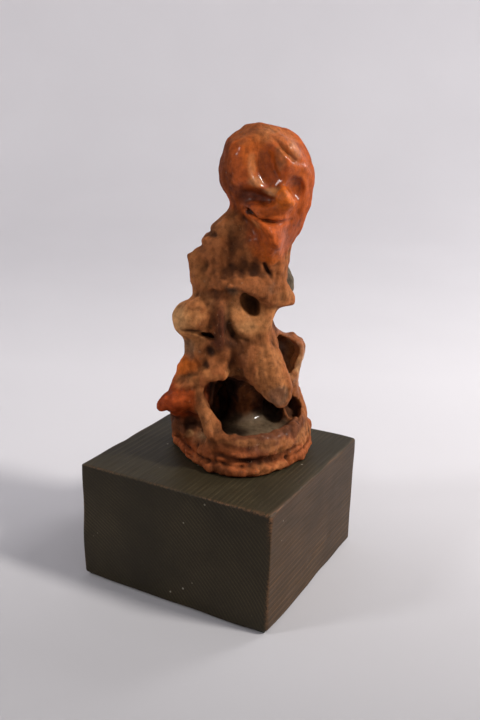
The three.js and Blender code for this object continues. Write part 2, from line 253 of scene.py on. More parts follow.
def strand(points, radii):
    """A soft line through points with a radius at each."""
    points = np.asarray(points, float)
    knots = eased(points) if len(points) > 2 else points
    radii = np.interp(np.linspace(0, 1, len(knots)), np.linspace(0, 1, len(points)), radii)
    reach = radii.max() + MARGIN
    where, place = region(knots.min(0) - reach, knots.max(0) + reach)
    best = None
    for a, b, ra, rb in zip(knots[:-1], knots[1:], radii[:-1], radii[1:]):
        h, v = off_segment(place, a, b)
        d = np.sqrt(sum(c ** 2 for c in v)) - (ra + h * (rb - ra))
        best = d if best is None else np.minimum(best, d)
    return where, best


def add(shape_of, k):
    where, d = shape_of
    clay[where] = smooth_min(clay[where], d.astype(np.float32), k)


def cut(shape_of, k):
    where, d = shape_of
    clay[where] = -smooth_min(-clay[where], d.astype(np.float32), k)


def score(shape_of, depth, k):
    """Cuts no deeper than `depth` under the surface."""
    where, d = shape_of
    limit = -(clay[where] + depth)
    cut((where, np.maximum(d, limit)), k)


def spline_weights(coordinates, knots):
    """Rows of cubic B-spline weights on evenly spaced knots."""
    base = np.floor(coordinates).astype(int)
    f = coordinates - base
    w = np.zeros((len(coordinates), knots), np.float32)
    parts = [(1 - f) ** 3 / 6, (3 * f ** 3 - 6 * f ** 2 + 4) / 6,
             (-3 * f ** 3 + 3 * f ** 2 + 3 * f + 1) / 6, f ** 3 / 6]
    for k, part in enumerate(parts):
        w[np.arange(len(coordinates)), np.clip(base + k, 0, knots - 1)] += part
    return w


def unevenness(spacing, seed):
    """Smooth noise over the whole grid, about -1 to 1; spacing in mm along each axis."""
    spacing = np.broadcast_to(spacing, 3)
    spread = 1.35                           # brings most of the smoothed values to -1 to 1
    counts = [int(math.ceil((axes[a][-1] - axes[a][0]) / spacing[a])) + 4 for a in range(3)]
    values = np.random.default_rng(seed).normal(0, spread, counts).astype(np.float32)
    for a in range(3):
        w = spline_weights((axes[a] - axes[a][0]) / spacing[a], counts[a])
        values = np.moveaxis(np.tensordot(w, values, (1, a)), 0, a)
    return values


def zone(at, radii):
    """Soft weight, 1 at a place and fading out of it, over the whole grid."""
    q = sum(laid_along((axes[a] - at[a]) / radii[a], a) ** 2 for a in range(3))
    return np.exp(-q).astype(np.float32)


def sample(field, points):
    """Values of a grid at places, between cells."""
    q = np.clip((points - grid_lo) / VOXEL, 0, np.array(field.shape) - 1.001)
    i = q.astype(int)
    f = (q - i).astype(np.float32)
    out = np.zeros(len(points), np.float32)
    for dx in (0, 1):
        for dy in (0, 1):
            for dz in (0, 1):
                w = ((f[:, 0] if dx else 1 - f[:, 0]) * (f[:, 1] if dy else 1 - f[:, 1])
                     * (f[:, 2] if dz else 1 - f[:, 2]))
                out += w * field[i[:, 0] + dx, i[:, 1] + dy, i[:, 2] + dz]
    return out


def spots(name, *offsets):
    return [near(name, *o) for o in offsets]


def trace(points, reach):
    """Near a line: the grid slices, distance, how far along (0 to 1), and the way off the line."""
    knots = eased(points)
    where, place = region(points.min(0) - reach, points.max(0) + reach)
    best = along = off = None
    for i, (a, b) in enumerate(zip(knots[:-1], knots[1:])):
        h, v = off_segment(place, a, b)
        d = sum(c ** 2 for c in v)
        here = (i + h) / (len(knots) - 1)
        if best is None:
            best, along, off = d, here, v
        else:
            nearer = d < best
            best = np.where(nearer, d, best)
            along = np.where(nearer, here, along)
            off = [np.where(nearer, n, o) for n, o in zip(v, off)]
    return where, np.sqrt(best), along, off


def push(points, width, heights, side=None, steep=1.2, out=(0, -1, 0)):
    """Raises (or for a height below 0 presses in) the surface along a line, seen from `out`. With
    `side`, the ridge falls away sharply on that side and gently on the other."""
    where, d, t, off = trace(on_surface(points, out), 2.6 * width + 6)
    height = np.interp(t, np.linspace(0, 1, len(heights)), heights)
    depth = sum(c * s for c, s in zip(off, unit(out)))
    d = np.sqrt(np.clip(d ** 2 - depth ** 2, 0, None) + (depth / (3 + 5 / width)) ** 2)
    if side is None:
        w = np.exp(-(d / width) ** 2)
    else:
        lean = sum(c * s for c, s in zip(off, unit(side)))
        rest = np.clip(d ** 2 - lean ** 2, 0, None)
        w = np.exp(-(lean / np.where(lean > 0, steep, width)) ** 2 - rest / (1.3 * width) ** 2)
    clay[where] -= (height * w).astype(np.float32)


def press(at, radii, depth, along=(0, 0, 1), out=(0, -1, 0), edge=2.0):
    """Presses an oval thumb into the surface (or for a depth below 0 raises a pad on it);
    a higher `edge` gives a flatter floor and a crisper rim."""
    where, q = turned(at, max(radii) * 2.2, along, out)
    q = sum((c / r) ** 2 for c, r in zip(q, radii))
    clay[where] += (depth * np.exp(-q ** (edge / 2))).astype(np.float32)


def smoothed(at, radii, sigma):
    """Rubs the surface smooth round a place."""
    at, radii = np.asarray(at), np.asarray(radii, float)
    where, place = region(at - 2 * radii, at + 2 * radii)
    w = np.clip(1.8 * np.exp(-sum(((c - a) / r) ** 2 for c, a, r in zip(place, at, radii))), 0, 1)
    clay[where] += (w * (blur(clay[where], sigma) - clay[where])).astype(np.float32)


def pared(name, low, values, normal, bite, k=3.0):
    """A lump's distances with a flat pared off it, `bite` mm under its furthest point that way."""
    n = unit(normal)
    points, _ = meshes[name]
    reach = ((points - centre[name]) @ n).max() - bite
    plane = -reach
    for a in range(3):
        along = grid_lo[a] + VOXEL * (low[a] + np.arange(values.shape[a])) - centre[name][a]
        plane = plane + laid_along(n[a] * along, a)
    return -smooth_min(-values, -plane.astype(np.float32), k)


def on_surface(points, out, reach=8.0):
    """Moves points along `out` to the nearest face of the clay, if there is one within reach."""
    o = unit(out)
    steps = np.arange(-reach, reach + 0.01, 0.4)
    moved = []
    for p in np.asarray(points, float):
        values = sample(clay, p + steps[:, None] * o)
        crossing = np.where((values[:-1] < 0) & (values[1:] >= 0))[0]
        if len(crossing):
            at = steps[crossing] + 0.4 * values[crossing] / (values[crossing] - values[crossing + 1])
            p = p + o * at[np.argmin(np.abs(at))]
        moved.append(p)
    return np.array(moved)


def filleted(field, radius):
    """Fills corners and gaps narrower than twice the radius, as pressed clay does."""
    grid = vdb.FloatGrid(BAND)
    grid.copyFromArray(field)
    points, quads = grid.convertToQuads(isovalue=radius)
    swollen = vdb.FloatGrid.createLevelSetFromPolygons(
        points, quads=quads.astype(np.uint32), transform=vdb.createLinearTransform(1.0),
        halfWidth=BAND / VOXEL)
    values = np.zeros(shape, np.float32)
    swollen.copyToArray(values)
    return values * VOXEL + radius


# ---- Blend the lumps ----
FLATS = {                                  # pared off a lump: the way each faces, how deep it bites
    "head": (((-0.95, -0.2, 0.2), 1.8), ((-0.5, -0.3, 0.85), 2.2), ((0.35, -0.3, 0.9), 1.8),
             ((0.85, -0.35, 0.5), 1.8), ((0.95, -0.2, -0.2), 1.0), ((-0.8, -0.3, -0.55), 1.4),
             ((0.1, 0.2, 1.0), 1.0), ((-0.3, 0.9, 0.4), 2.0), ((0.6, 0.8, 0.1), 2.0)),
    "left_bulb": (((-0.7, -0.5, 0.6), 0.9), ((-0.9, 0.1, -0.3), 0.9), ((-0.2, -0.8, 0.6), 0.9)),
    "horn_body": (((-0.1, -0.7, 0.7), 1.2), ((-0.1, -0.8, -0.6), 1.2)),
}
TOOLED = ("eye_ring", "brow_fold")         # made with the tools below, not blended
clay = np.full(shape, BAND, np.float32)
distance = {}
for name in CLAY:
    _, soften, melt, grow = LUMPS[name]
    low, values = level_set(name, soften)
    distance[name] = (low, values)
    if name in TOOLED:
        continue
    for normal, bite in FLATS.get(name, ()):
        values = pared(name, low, values, normal, bite)
    where = tuple(slice(a, a + n) for a, n in zip(low, values.shape))
    clay[where] = smooth_min(clay[where], values - grow, melt)

# Clay packed between the lumps
add(oval(near("lower_torso", -4, -13, 24), (19, 25, 15)), 8)
add(oval(near("lower_torso", 7, -17, -2), (21, 15, 13), along=(-0.25, 0, 1)), 9)
add(oval(near("hem", 16, -6, 0), (17, 8, 10), along=(0.9, 0.2, -0.35)), 7)
add(oval(near("upper_trunk", 4, -10, 0), (30, 20, 16)), 8)
add(strand(spots("left_spur", (2, -1, 12), (-8.5, -1.5, 12.5)), [5.5, 1.3]), 3)
add(strand(spots("left_spur", (-6, -2, 9), (-2, -4, -4), (2, -6, -12)), [1.6, 2.4, 2.0]), 5)
add(strand(spots("root_limb", (-13.5, -8, 1.5), (-7, -9.5, -5), (-0.5, -10.5, -12), (5, -10.5, -18)),
           [4.2, 4.0, 3.6, 3.0]), 9)
add(oval(near("root_limb", -4, -7.5, -1), (16, 7.5, 7.5), along=(0.6, -0.1, -0.78)), 9)
add(oval(near("basin_floor", 8, 1, 2.5), (5.2, 27, 24), along=(-0.14, 0, 1)), 4)
add(oval(near("leaf", 9, 1, 4), (9, 8, 7)), 6)
add(oval(near("pinch_fold", 11, -3, 5), (10, 7, 7), along=(1, 0, 0.3)), 6)
add(strand(spots("pinch_fold", (4, -6, -1), (13, -9, 4), (24, -10, 7)), [4.5, 5.0, 4.5]), 6)
add(strand(spots("left_pillar", (1, 4, 27), (-6, 3, 19), (-8, 1, 11), (-4, -3, 1), (1, -8, -9)),
           [4.0, 3.6, 3.8, 4.0, 4.0]), 5)
rim = spots("basin_lip", (-31, -20.5, 7), (-22, -20.5, 6), (-10, -18.5, 5.5), (1, -14, 6),
            (11, -7, 7), (19, 2, 9), (25, 13, 11))
add(strand(spots("left_pillar", (2, -6, -9)) + rim, [3.2, 2.8, 2.8, 2.8, 2.8, 2.8, 2.6, 2.2]), 5)
clay = np.minimum(clay, filleted(clay, CORNER))
# Openings that pressed clay must not close
cut(oval(near("left_pillar", 3.6, 4, 14.5), (12.5, 9.4, 15), along=(-0.15, 0, 1)), 2.0)
cut(oval(near("right_ear", -4.5, -11, 2), (10, 5.5, 9), along=(0.35, 0.5, -0.8)), 2.5)
cut(oval(near("shell_wall", 0, -4, 13), (12, 7, 9), along=(0.75, 0.2, -0.6)), 2.5)
cut(oval(near("shell_wall", 6, -4, 3), (15, 8, 9), along=(0.15, -0.1, -0.95)), 2.0)

# ---- Big uneven swells of hand-built clay ----
smooth_head = zone(near("head", 0, -10, 0), (34, 40, 34))
smooth_head = np.maximum(smooth_head, zone(near("neck", 2, -14, 0), (24, 24, 18)))
smooth_cup = zone(near("cup", 0, -8, 0), (18, 18, 16))
smooth_bulb = zone(near("left_bulb", -6, 0, 0), (18, 20, 16))
smooth_floor = 1.5 * zone(near("basin_floor", 6, -2, 6), (28, 26, 8))
calm = np.clip(smooth_floor + smooth_head + smooth_cup + smooth_bulb, 0, 1)
clay += 0.9 * unevenness(15, 11) * (1 - 0.6 * calm)
clay += 0.7 * unevenness((7, 7, 9), 12) * (1 - 0.8 * calm)

# ---- Head ----
eye_axis = (0.42, 0.0, -0.91)
push(spots("head", (-2, -21, 21), (4, -23, 16.5), (9.5, -24, 10.5), (12, -24.5, 4), (12.5, -26, -4)),
     4.6, [0.8, 2.4, 3.2, 3.2, 2.2])
press(near("head", -1.5, -22, 3.5), (16.5, 10.4, 11), 4.6, along=eye_axis, edge=3.2)
push(spots("head", (-9, -22, 18), (-12.5, -22, 9), (-12, -23, 0), (-9, -24, -7), (-3, -24.5, -11.5),
           (4, -25.5, -14), (10, -28, -14)), 3.4, [0.4, 1.2, 1.8, 2.8, 3.6, 3.8, 2.6])
push(spots("head", (-1.5, -21, 14), (1.5, -20, 8), (4, -20, 2), (7, -21.5, -2.5)), 1.4,
     [-0.5, -1.8, -2.4, -1.0])
push(spots("head", (2, -21, 10.5), (5.5, -21.5, 4.5), (7.5, -22, -1.0)), 2.3, [0.4, 2.0, 1.0])
knife = spots("head", (2.5, -20.5, 21.5), (7.5, -23, 17.5), (12.5, -24, 12.5), (16.5, -23, 8.5))
press(near("head", 13.5, -20.5, 17), (8.5, 3.8, 8), -2.4, along=(0.68, 0, -0.73), edge=2.6)
push(knife, 1.1, [-1.5, -4.5, -4.5, -2.2])
push([p + np.array([-1.8, -0.5, -1.6]) for p in knife], 1.2, [0.3, 0.9, 1.0, 0.4])
push(spots("head", (16.5, -22.5, 8.5), (21.5, -19, 7), (26, -14, 6.5)), 1.8, [-1.4, -1.5, -0.4])
press(near("head", 18, -27, -9), (9.2, 7.4, 11), 5.2, along=(0.3, 0, -0.95), edge=3.4)
push(spots("head", (10, -30, -11), (11.5, -32, -15.5), (15, -31, -18.5), (20, -28, -18)),
     2.2, [1.2, 2.2, 2.0, 1.0])
push(spots("head", (10, -28, -7), (13, -26, -2.5), (18, -23, -0.5), (24, -19.5, -4.5),
           (26, -17.5, -11), (23, -18.5, -17)), 1.5, [0.8, 1.4, 1.6, 1.6, 1.4, 0.7])
press(near("head", -8, -23, -16.5), (20, 7.2, 14), 3.6, along=(1, 0, 0.06), edge=2.2)
push(spots("head", (-19, -12, -24.5), (-13, -19, -22.8), (-5.5, -22.5, -22.5), (2.5, -24.5, -22),
           (11, -25, -21), (17, -22, -20)), 2.3, [0.5, 2.4, 2.8, 2.4, 1.2, 0.2])
lips = spots("head", (-15, -20, -24.5), (-12, -23, -25), (-8, -26, -27.6), (-3, -29, -30.2),
             (4, -29, -31), (11, -26, -31.3), (16, -24, -31))
push(lips, 1.3, [-2.5, -4.6, -4.6, -4.0, -3.8, -3.0, -1.2])
push([p + np.array([0.4, 0, 2.2]) for p in lips], 1.8, [0.2, 0.6, 1.0, 1.4, 1.4, 0.8, 0.2])
cut(oval(near("head", -12, -20.5, -24.8), (3.4, 1.9, 5.5), along=(1, 0, -0.35)), 1.0)
push(spots("head", (-17, -17, -26.5), (-12, -21, -28.8), (-6, -27, -31.5), (-1, -31, -35),
           (3, -33, -39.5), (4.5, -33, -44.5)), 4.6, [1.6, 3.2, 4.4, 5.0, 4.8, 3.4],
     side=(-0.68, 0.0, -0.73), steep=1.3)
press(near("head", -6.5, -20, -39), (9.5, 4.6, 7), 3.6, along=(0.62, -0.3, -0.72))
press(near("head", 13, -23, -27), (8, 2.6, 6), 1.2, along=(1, 0, -0.1))

# ---- Trunk ----
press(near("upper_trunk", -5, -24, 14), (12, 8, 8), 1.8, along=(0.35, 0, 1))
press(near("upper_trunk", 2, -25, 2), (8, 12, 7), 2.0)
push(spots("upper_trunk", (-15, -12, 28), (-18, -18, 18), (-19, -21, 6), (-16, -24, -8)), 4.0,
     [0.8, 1.8, 2.0, 1.0])
push(spots("upper_trunk", (20, -22, 14), (19, -24, 4), (17, -25, -3)), 3.0, [1.4, 2.2, 1.4])
push(spots("upper_trunk", (14.2, -24, 6), (16.5, -25, 1), (19, -23, -3.5)), 1.1, [-2.2, -3.6, -1.4])
push(spots("upper_trunk", (26, -12, 24), (24, -16, 12), (27, -15, -2), (31, -14, -14)), 3.2,
     [1.0, 1.8, 1.6, 1.2])
press(near("left_spur", 4, -9, 6), (8, 5, 5), 1.2, along=(0.2, 0, 1))
push(spots("shoulder_ledge", (-9, 6, 11), (-5, -7, 10.5), (4, -13, 9)), 2.2, [-2.6, -2.2, -0.8],
     out=(-0.7, -0.7, 0))
push(spots("shoulder_ledge", (-11, 4, 2), (-8, -7, 1), (0, -13, 0)), 2.4, [-1.8, -1.6, -0.6],
     out=(-0.7, -0.7, 0))
push(spots("shoulder_ledge", (-9, 6, 7), (-7, -5, 6.5), (0, -11, 6)), 2.4, [1.6, 1.4, 0.6],
     out=(-0.7, -0.7, 0))
press(near("upper_trunk", -5, -26, -5), (7, 7, 6), 1.6)
hem_edge = spots("hem", (-25, -13, 1), (-21, -17, 3.5), (-17, -19.5, 1.5), (-11, -21.5, 4.5),
                 (-3, -22.5, 4.0), (4, -22.5, 1.0), (11, -22, -2))
push(hem_edge, 4.4, [0.9, 1.6, 1.2, 1.9, 1.5, 1.1, 0.5], side=(0, 0, -1), steep=1.1)
push([p + np.array([0.0, 0.0, -2.0]) for p in hem_edge],
     1.2, [-0.6, -1.0, -0.7, -1.1, -0.8, -0.5, -0.2])
push(spots("hem", (8, -21, -3), (18, -17, -7), (27, -11, -9.5), (33, -7, -10)), 3.0,
     [0.6, 1.6, 1.8, 1.0], side=(0, 0.3, -1), steep=1.8)

# ---- Bulb, ridge and cup ----
crack = spots("left_bulb", (-9, -10, -6), (-3, -12, -5.6), (3, -12, -7.4), (8, -11, -9.4),
              (13, -11, -10.6))
push(crack, 1.2, [-1.0, -2.0, -2.4, -2.0, -1.0])
cut(oval(near("left_bulb", 9, -11.5, -9.8), (6.0, 1.9, 8), along=(1, 0, -0.22)), 1.0)
push([p + np.array([0.0, -0.5, -2.6]) for p in crack], 1.8, [0.3, 0.8, 1.0, 1.2, 0.6])
push(spots("centre_ridge", (1, 1, 17), (0.5, -2, 8), (1.5, -3, -3), (1, -1, -14)),
     2.0, [1.2, 2.2, 2.4, 1.8])
push(spots("centre_ridge", (6, 1, 14), (5.8, 0, 4), (7.5, 1, -7), (12, 1, -12)),
     1.9, [-1.6, -2.6, -3.6, -2.2])
push(spots("centre_ridge", (-5, 1, 12), (-5, 1, 2), (-5.5, 1, -8)), 2.0, [-0.6, -1.4, -2.0])
press(near("cup", -1.5, -13, 0), (11.5, 11.0, 9.0), 3.4, along=(0.2, 0, 1))
cut(oval(near("cup", 0.4, -10.0, 6.4), (10.6, 5.8, 13), along=(0.55, 0, -0.83)), 1.6)
push(spots("cup", (-13, -13, 6), (-13.5, -14, -3), (-8, -15, -12), (1, -15, -14.5), (10, -12, -11),
           (14, -9, -2)), 3.4, [0.6, 1.0, 1.0, 1.0, 1.4, 1.8])
push(spots("cup", (-14.5, -12, -6), (-11, -12, -14), (-2, -12, -18)), 2.2, [-1.0, -2.4, -1.6])

# ---- Knuckle, limb, pouch ----
press(near("knuckle", -3, -11, 4), (3.8, 3.4, 6), 1.4)
press(near("knuckle", -6, -11, -7), (2.4, 2.2, 5), 1.2)
push(spots("knuckle", (-11, -6, 7), (-4, -10, 11), (4, -11, 13)), 2.6, [1.2, 1.8, 1.2],
     side=(-0.5, 0, 0.9), steep=1.5)
push(spots("knuckle", (10, -9, 8), (12, -10, 0), (9, -10, -9)), 2.2, [-1.2, -2.2, -1.4])
mouth_top = spots("lower_torso", (-20, -33, -15), (-12, -34, -12.5), (-2, -33, -14),
                  (8, -32, -20), (14, -33, -28))
push(mouth_top, 2.6, [0.4, 1.2, 1.4, 1.2, 0.8])
smoothed(near("root_limb", -1, -11, -2), (10, 12, 13), 3.2)
smoothed(near("root_limb", 6, -13, -18), (8, 10, 8), 2.0)
for side, start, deep in ((-9, 20, -1.6), (-3, 24, -1.0), (2, 16, -1.3), (5, 26, -0.9)):
    push(spots("root_limb", (side - 5, -4, start), (side - 1, -9, start - 16),
               (side + 4, -12, start - 32)), 1.5, [0.1 * deep, 0.45 * deep, 0.2 * deep])
push(spots("root_limb", (-6, -4, 24), (0, -8, 8), (6, -11, -8)), 3.0, [0.6, 1.2, 0.8])
push(spots("shell_wall", (-8, -1, 27), (4, 2, 20), (15, -3, 16)), 1.8, [1.2, 1.4, 1.6])
add(strand(spots("shell_wall", (15, -5, 13), (11, -4, 2), (6, -5, -8), (4, -7, -15)),
           [1.8, 3.6, 3.8, 2.6]), 4)

# ---- Left side: leaf, fold, horn ----
push(spots("leaf", (-9, -3, -9), (-3, -5, -3), (5, -7, 0.5)), 1.1, [-1.2, -2.4, -1.6])
press(near("leaf", 0, -4, 5), (11, 6.5, 9), -1.6, along=(0.75, 0, 0.66), edge=3.0)
push(spots("leaf", (3, -4, 12), (8, -6, 6), (6, -8, 0)), 1.4, [-1.0, -2.2, -1.6])
score(oval(near("horn_tip", 2.6, -0.3, 1.0), (0.9, 13, 13), along=(1, 0, 0.1)), 0.7, 0.6)
cut(oval(near("side_wall", 4, -13, -3.5), (6.5, 4.5, 6), along=(1, 0, 0.1)), 2.5)
for dz, deep in ((-4, -1.6), (1, -1.2), (5, -1.0)):
    push(spots("pinch_fold", (-8, -5, dz - 2), (2, -9, dz), (12, -10, dz + 3)), 1.6,
         [0.3 * deep, 0.6 * deep, 0.4 * deep])

# ---- Band round the hollow, foot ----
push(spots("left_pillar", (-10, 2, 18), (-6, -4, 6), (-2, -9, -8), (5, -12, -19)),
     2.2, [1.0, 1.4, 1.4, 1.0])
push(spots("left_pillar", (-4, 4, 20), (0, -3, 8), (4, -8, -6), (10, -12, -18)),
     1.6, [-0.6, -1.4, -1.4, -0.6])
push(spots("basin_lip", (-28, -22, 5), (-14, -23, 4), (2, -20, 4.5), (14, -12, 6), (24, 0, 8)), 2.6,
     [1.2, 1.4, 1.2, 1.4, 1.0], side=(0.1, 1, 0.2), steep=1.4)
below_lip = spots("basin_lip", (-22, -26, -7), (-9, -27, -8), (6, -21, -8), (19, -9, -6))
push(spots("left_pillar", (2, -9, -25)) + below_lip, 2.2, [-2.4, -4.5, -5.0, -4.5, -2.0])
FOOT_DROP = 4.3                            # mm from the slab's middle down to the block
foot_points, _ = meshes["foot_slab"]
around = foot_points - centre["foot_slab"]
around = around[np.hypot(around[:, 0], around[:, 1]) > 30]      # its rim only
angles = np.arctan2(around[:, 1], around[:, 0])
spans = np.hypot(around[:, 0], around[:, 1])


def foot_edge(angle, height, inset=0.0):
    r = np.interp(angle, angles, spans, period=2 * math.pi) - inset
    return near("foot_slab", r * math.cos(angle), r * math.sin(angle), height - FOOT_DROP)


seam = [foot_edge(-math.pi + 2 * math.pi * i / 24, 8.6 + rng.uniform(-0.8, 0.8), 0.5)
        for i in range(25)]
for i in range(24):
    push(seam[i:i + 2], 1.5, rng.uniform(-2.6, -0.8, 2).tolist(), out=seam[i] - centre["foot_slab"])
for i in range(46):
    a = 2 * math.pi * i / 46 + rng.uniform(-0.08, 0.08)
    at = foot_edge(a, rng.uniform(2, 18), rng.uniform(0, 1.5))
    sweep = np.array([-math.sin(a), math.cos(a), 0])
    half = rng.uniform(1.5, 5.0)
    lean = rng.uniform(-2.5, 2.5)
    end = sweep * half * 2.0 + np.array([0, 0, lean]) if i % 3 == 0 else \
        np.array([0, 0, half]) + sweep * lean
    deep = -rng.uniform(1.0, 2.8)
    push([at - end, at + sweep * rng.uniform(-1, 1), at + end], rng.uniform(0.7, 1.1),
         [0.3 * deep, deep, 0.3 * deep], out=(math.cos(a), math.sin(a), 0.3))
for i in range(16):
    a = rng.uniform(-math.pi, math.pi)
    press(foot_edge(a, rng.uniform(4, 17)), (rng.uniform(4, 9), rng.uniform(2.5, 4), 5),
          rng.uniform(-1.4, 1.6), along=(-math.sin(a), math.cos(a), 0),
          out=(math.cos(a), math.sin(a), 0))

# ---- Back and sides: finger scoops and tool strokes ----
for i in range(44):
    a = rng.uniform(0.15, math.pi - 0.15) if i % 4 else rng.uniform(-0.4, 0.3)
    z = rng.uniform(24, 168)
    waist = 40 - 8 * math.sin(z / 34) - 0.05 * z
    at = np.array([waist * math.cos(a) + 3, waist * math.sin(a) * 0.95 + 4, z])
    outward = (math.cos(a), math.sin(a), 0.1)
    press(at, (rng.uniform(6, 13), rng.uniform(3, 6), 9), rng.uniform(0.8, 2.6), out=outward,
          along=(rng.uniform(-0.5, 0.5), rng.uniform(-0.5, 0.5), 1), edge=rng.choice([2.0, 3.0]))

# ---- Skin of the clay: strokes, small cracks, grit and pits, least on the waxed head and dish ----
rough = 1 - calm
clay = blur(clay, 0.6)
stroke = unevenness((2.8, 2.8, 8), 13)
warp = unevenness((7, 7, 13), 16)
lines = np.exp(-(warp / 0.15) ** 2) * np.clip(unevenness(12, 17) + 0.2, 0, 1.3)
grit = unevenness(2.3, 14)
pits = np.clip(unevenness(2.8, 15) - 0.9, 0, None)
sides = 1 - zone(near("head", 0, 0, 4), (44, 44, 40))
cracked = 1.0 - zone(near("root_limb", 0, -12, -6), (16, 16, 26))
relief = ((STROKE * stroke * sides + CRACK * lines * cracked) * rough + GRIT * grit * (1 - 0.85 * calm)
          + PIT * pits * (1 - 0.85 * calm)).astype(np.float32)
clay += relief
clay = np.maximum(clay, (0.3 - laid_along(axes[2], 2)).astype(np.float32))    # flat underside
for a in range(3):                                                    # stay inside the CAD box
    side_lo = every.min(0)[a] + INSIDE - axes[a]
    side_hi = axes[a] - every.max(0)[a] + INSIDE
    clay = np.maximum(clay, laid_along(np.maximum(side_lo, side_hi), a).astype(np.float32))

# ---- Which piece owns each cell ----
FAR = 3 * BAND


def piece_distance(members):
    lows = np.array([distance[n][0] for n in members])
    highs = np.array([distance[n][0] + distance[n][1].shape for n in members])
    low, high = lows.min(0), highs.max(0)
    out = np.full(high - low, BAND, np.float32)
    for n in members:
        o, values = distance[n]
        w = tuple(slice(a, a + m) for a, m in zip(o - low, values.shape))
        out[w] = np.minimum(out[w], values)
    return low, out


first = np.full(shape, FAR, np.float32)
second = np.full(shape, FAR, np.float32)
own = {}
for piece, (members, _) in PIECES.items():
    low, d = piece_distance(members)
    own[piece] = (low, d)
    w = tuple(slice(a, a + m) for a, m in zip(low, d.shape))
    second[w] = np.minimum(second[w], np.maximum(first[w], d))
    first[w] = np.minimum(first[w], d)

hollow = blur(clay, 2.4) - clay            # below 0 in creases, above 0 on edges
wide_hollow = blur(clay, 5.0) - clay
breakup = unevenness(4.5, 21)
patches = unevenness(11, 22)
speckle = unevenness((1.9, 1.9, 2.6), 23)


def largest_shells(points, quads):
    """Drops inner bubbles and crumbs: keeps the shells that face outwards and are large enough."""
    label = np.arange(len(points))
    a = np.concatenate([quads[:, 0], quads[:, 1], quads[:, 2]])
    b = np.concatenate([quads[:, 1], quads[:, 2], quads[:, 3]])
    while True:
        m = np.minimum(label[a], label[b])
        new = label.copy()
        np.minimum.at(new, a, m)
        np.minimum.at(new, b, m)
        new = new[new]
        if np.array_equal(new, label):
            break
        label = new
    face_label = label[quads[:, 0]]
    p = points[quads]
    volume = (np.einsum("ij,ij->i", p[:, 0], np.cross(p[:, 1], p[:, 2]))
              + np.einsum("ij,ij->i", p[:, 0], np.cross(p[:, 2], p[:, 3]))) / 6
    total = np.bincount(face_label, volume, minlength=len(points))
    keep = np.abs(total) > CRUMB
    keep &= np.sign(total) == np.sign(total[np.argmax(np.abs(total))])
    quads = quads[keep[face_label]]
    used = np.unique(quads)
    back_to = np.zeros(len(points), int)
    back_to[used] = np.arange(len(used))
    return points[used], back_to[quads]


# ---- Paint: dabs given from the nodes, each its place, reach, tint, strength and raggedness ----
PAINT = []


def dabs(node, *rows):
    for offset, reach, tint, strength, *ragged in rows:
        PAINT.append((near(node, *offset), np.array(reach, float), np.array(TINT[tint]), strength,
                      ragged[0] if ragged else RAGGED))


# head
dabs("head", ((-32, -2, 6), (7.5, 26, 24), "umber", 0.62, 0.9),
     ((-16, -10, 28), (16, 22, 9), "bark", 0.7, 0.9), ((12, -16, 24), (20, 14, 8), "tan", 0.35, 0.7),
     ((-10, -22, 12), (9, 10, 14), "bright", 0.5), ((22, -20, 0), (10, 12, 12), "bright", 0.2),
     # the two rust dabs on the next line and the umber dab after them are painted shade in the recess
     # under the eye
     ((-10, -22, -16), (15, 10, 7.5), "rust", 0.85), ((2, -25, -14), (11, 9, 6), "rust", 0.8),
     ((-18, -14, -17), (10, 12, 7), "umber", 0.35, 0.8), ((-7, -26, -6), (7, 6, 4), "tan", 0.75, 0.6),
     ((3, -27, -12), (8, 6, 3.6), "tan", 0.85, 0.5), ((-11.5, -24, 4), (3, 6, 9), "tan", 0.5, 0.7),
     ((8, -24, 12), (4, 7, 9), "tan", 0.4, 0.7), ((17, -22, 15), (7, 7, 8), "tan", 0.5, 0.7),
     # the last dab is painted shade in the crater above the nose
     ((18.5, -24, -6), (6, 7, 6), "stain", 0.45))
dabs("eye_ring", ((6, -2, 2), (3, 6, 12), "rust", 0.5))
dabs("head", ((0, 26, 0), (30, 16, 30), "bark", 0.6, 0.9))
dabs("neck", ((12, -14, -2), (14, 14, 16), "rust", 0.25), ((0, 24, 0), (26, 14, 24), "bark", 0.75, 0.9),
     ((14, 4, -14), (10, 16, 8), "tan", 0.5, 0.8))
# the rust dab is painted shade left of and below the chin ridge
dabs("chin_tongue", ((-10, -2, 1), (6, 8, 6), "rust", 0.4), ((-6, -3, -9), (7, 7, 6), "bright", 0.7))
# the near-black dab is painted shade in the hole at the mouth's left end
dabs("upper_lip", ((-12, 2, -1), (4, 5, 2.5), "painted_hole_shade", 0.9))
# trunk
dabs("upper_trunk", ((-10, -26, 10), (7, 9, 7), "umber", 0.2, 1.0),
     ((-8, -26, -2), (8, 9, 6), "umber", 0.35, 1.0), ((2, -26, 2), (11, 9, 5), "umber", 0.55, 1.0),
     ((-7, -22, 18), (6, 9, 7), "umber", 0.45, 1.0), ((12, -26, 1), (7, 8, 5), "umber", 0.45, 1.0),
     ((-8, -18, 26), (5, 9, 5), "umber", 0.5, 1.0), ((-6, -26, -11), (7, 8, 6), "grey", 0.7, 0.7),
     ((16, -24, -12), (7, 8, 5), "grey", 0.35, 0.8))
dabs("neck", ((-4, -20, -6), (14, 10, 13), "orange", 0.9, 0.6),
     ((-1, -22, -14), (8, 9, 7), "bright", 0.6, 0.6))
# the rust dab is painted shade left of and below the chin ridge
dabs("chin_tongue", ((-10, -2, -3), (8, 8, 6), "rust", 0.45), ((-9, -3, 8), (6, 8, 3.5), "tan", 0.5))
dabs("left_spur", ((-2, -4, 2), (12, 12, 14), "tan", 0.35, 0.8))
dabs("shoulder_knob", ((-2, -6, 2), (14, 12, 8), "tan", 0.25, 0.8))
dabs("hem", ((24, -6, -4), (16, 12, 7), "tan", 0.45, 0.7),
     ((-24, -14, -3), (10, 10, 4), "stain", 0.4, 0.8))
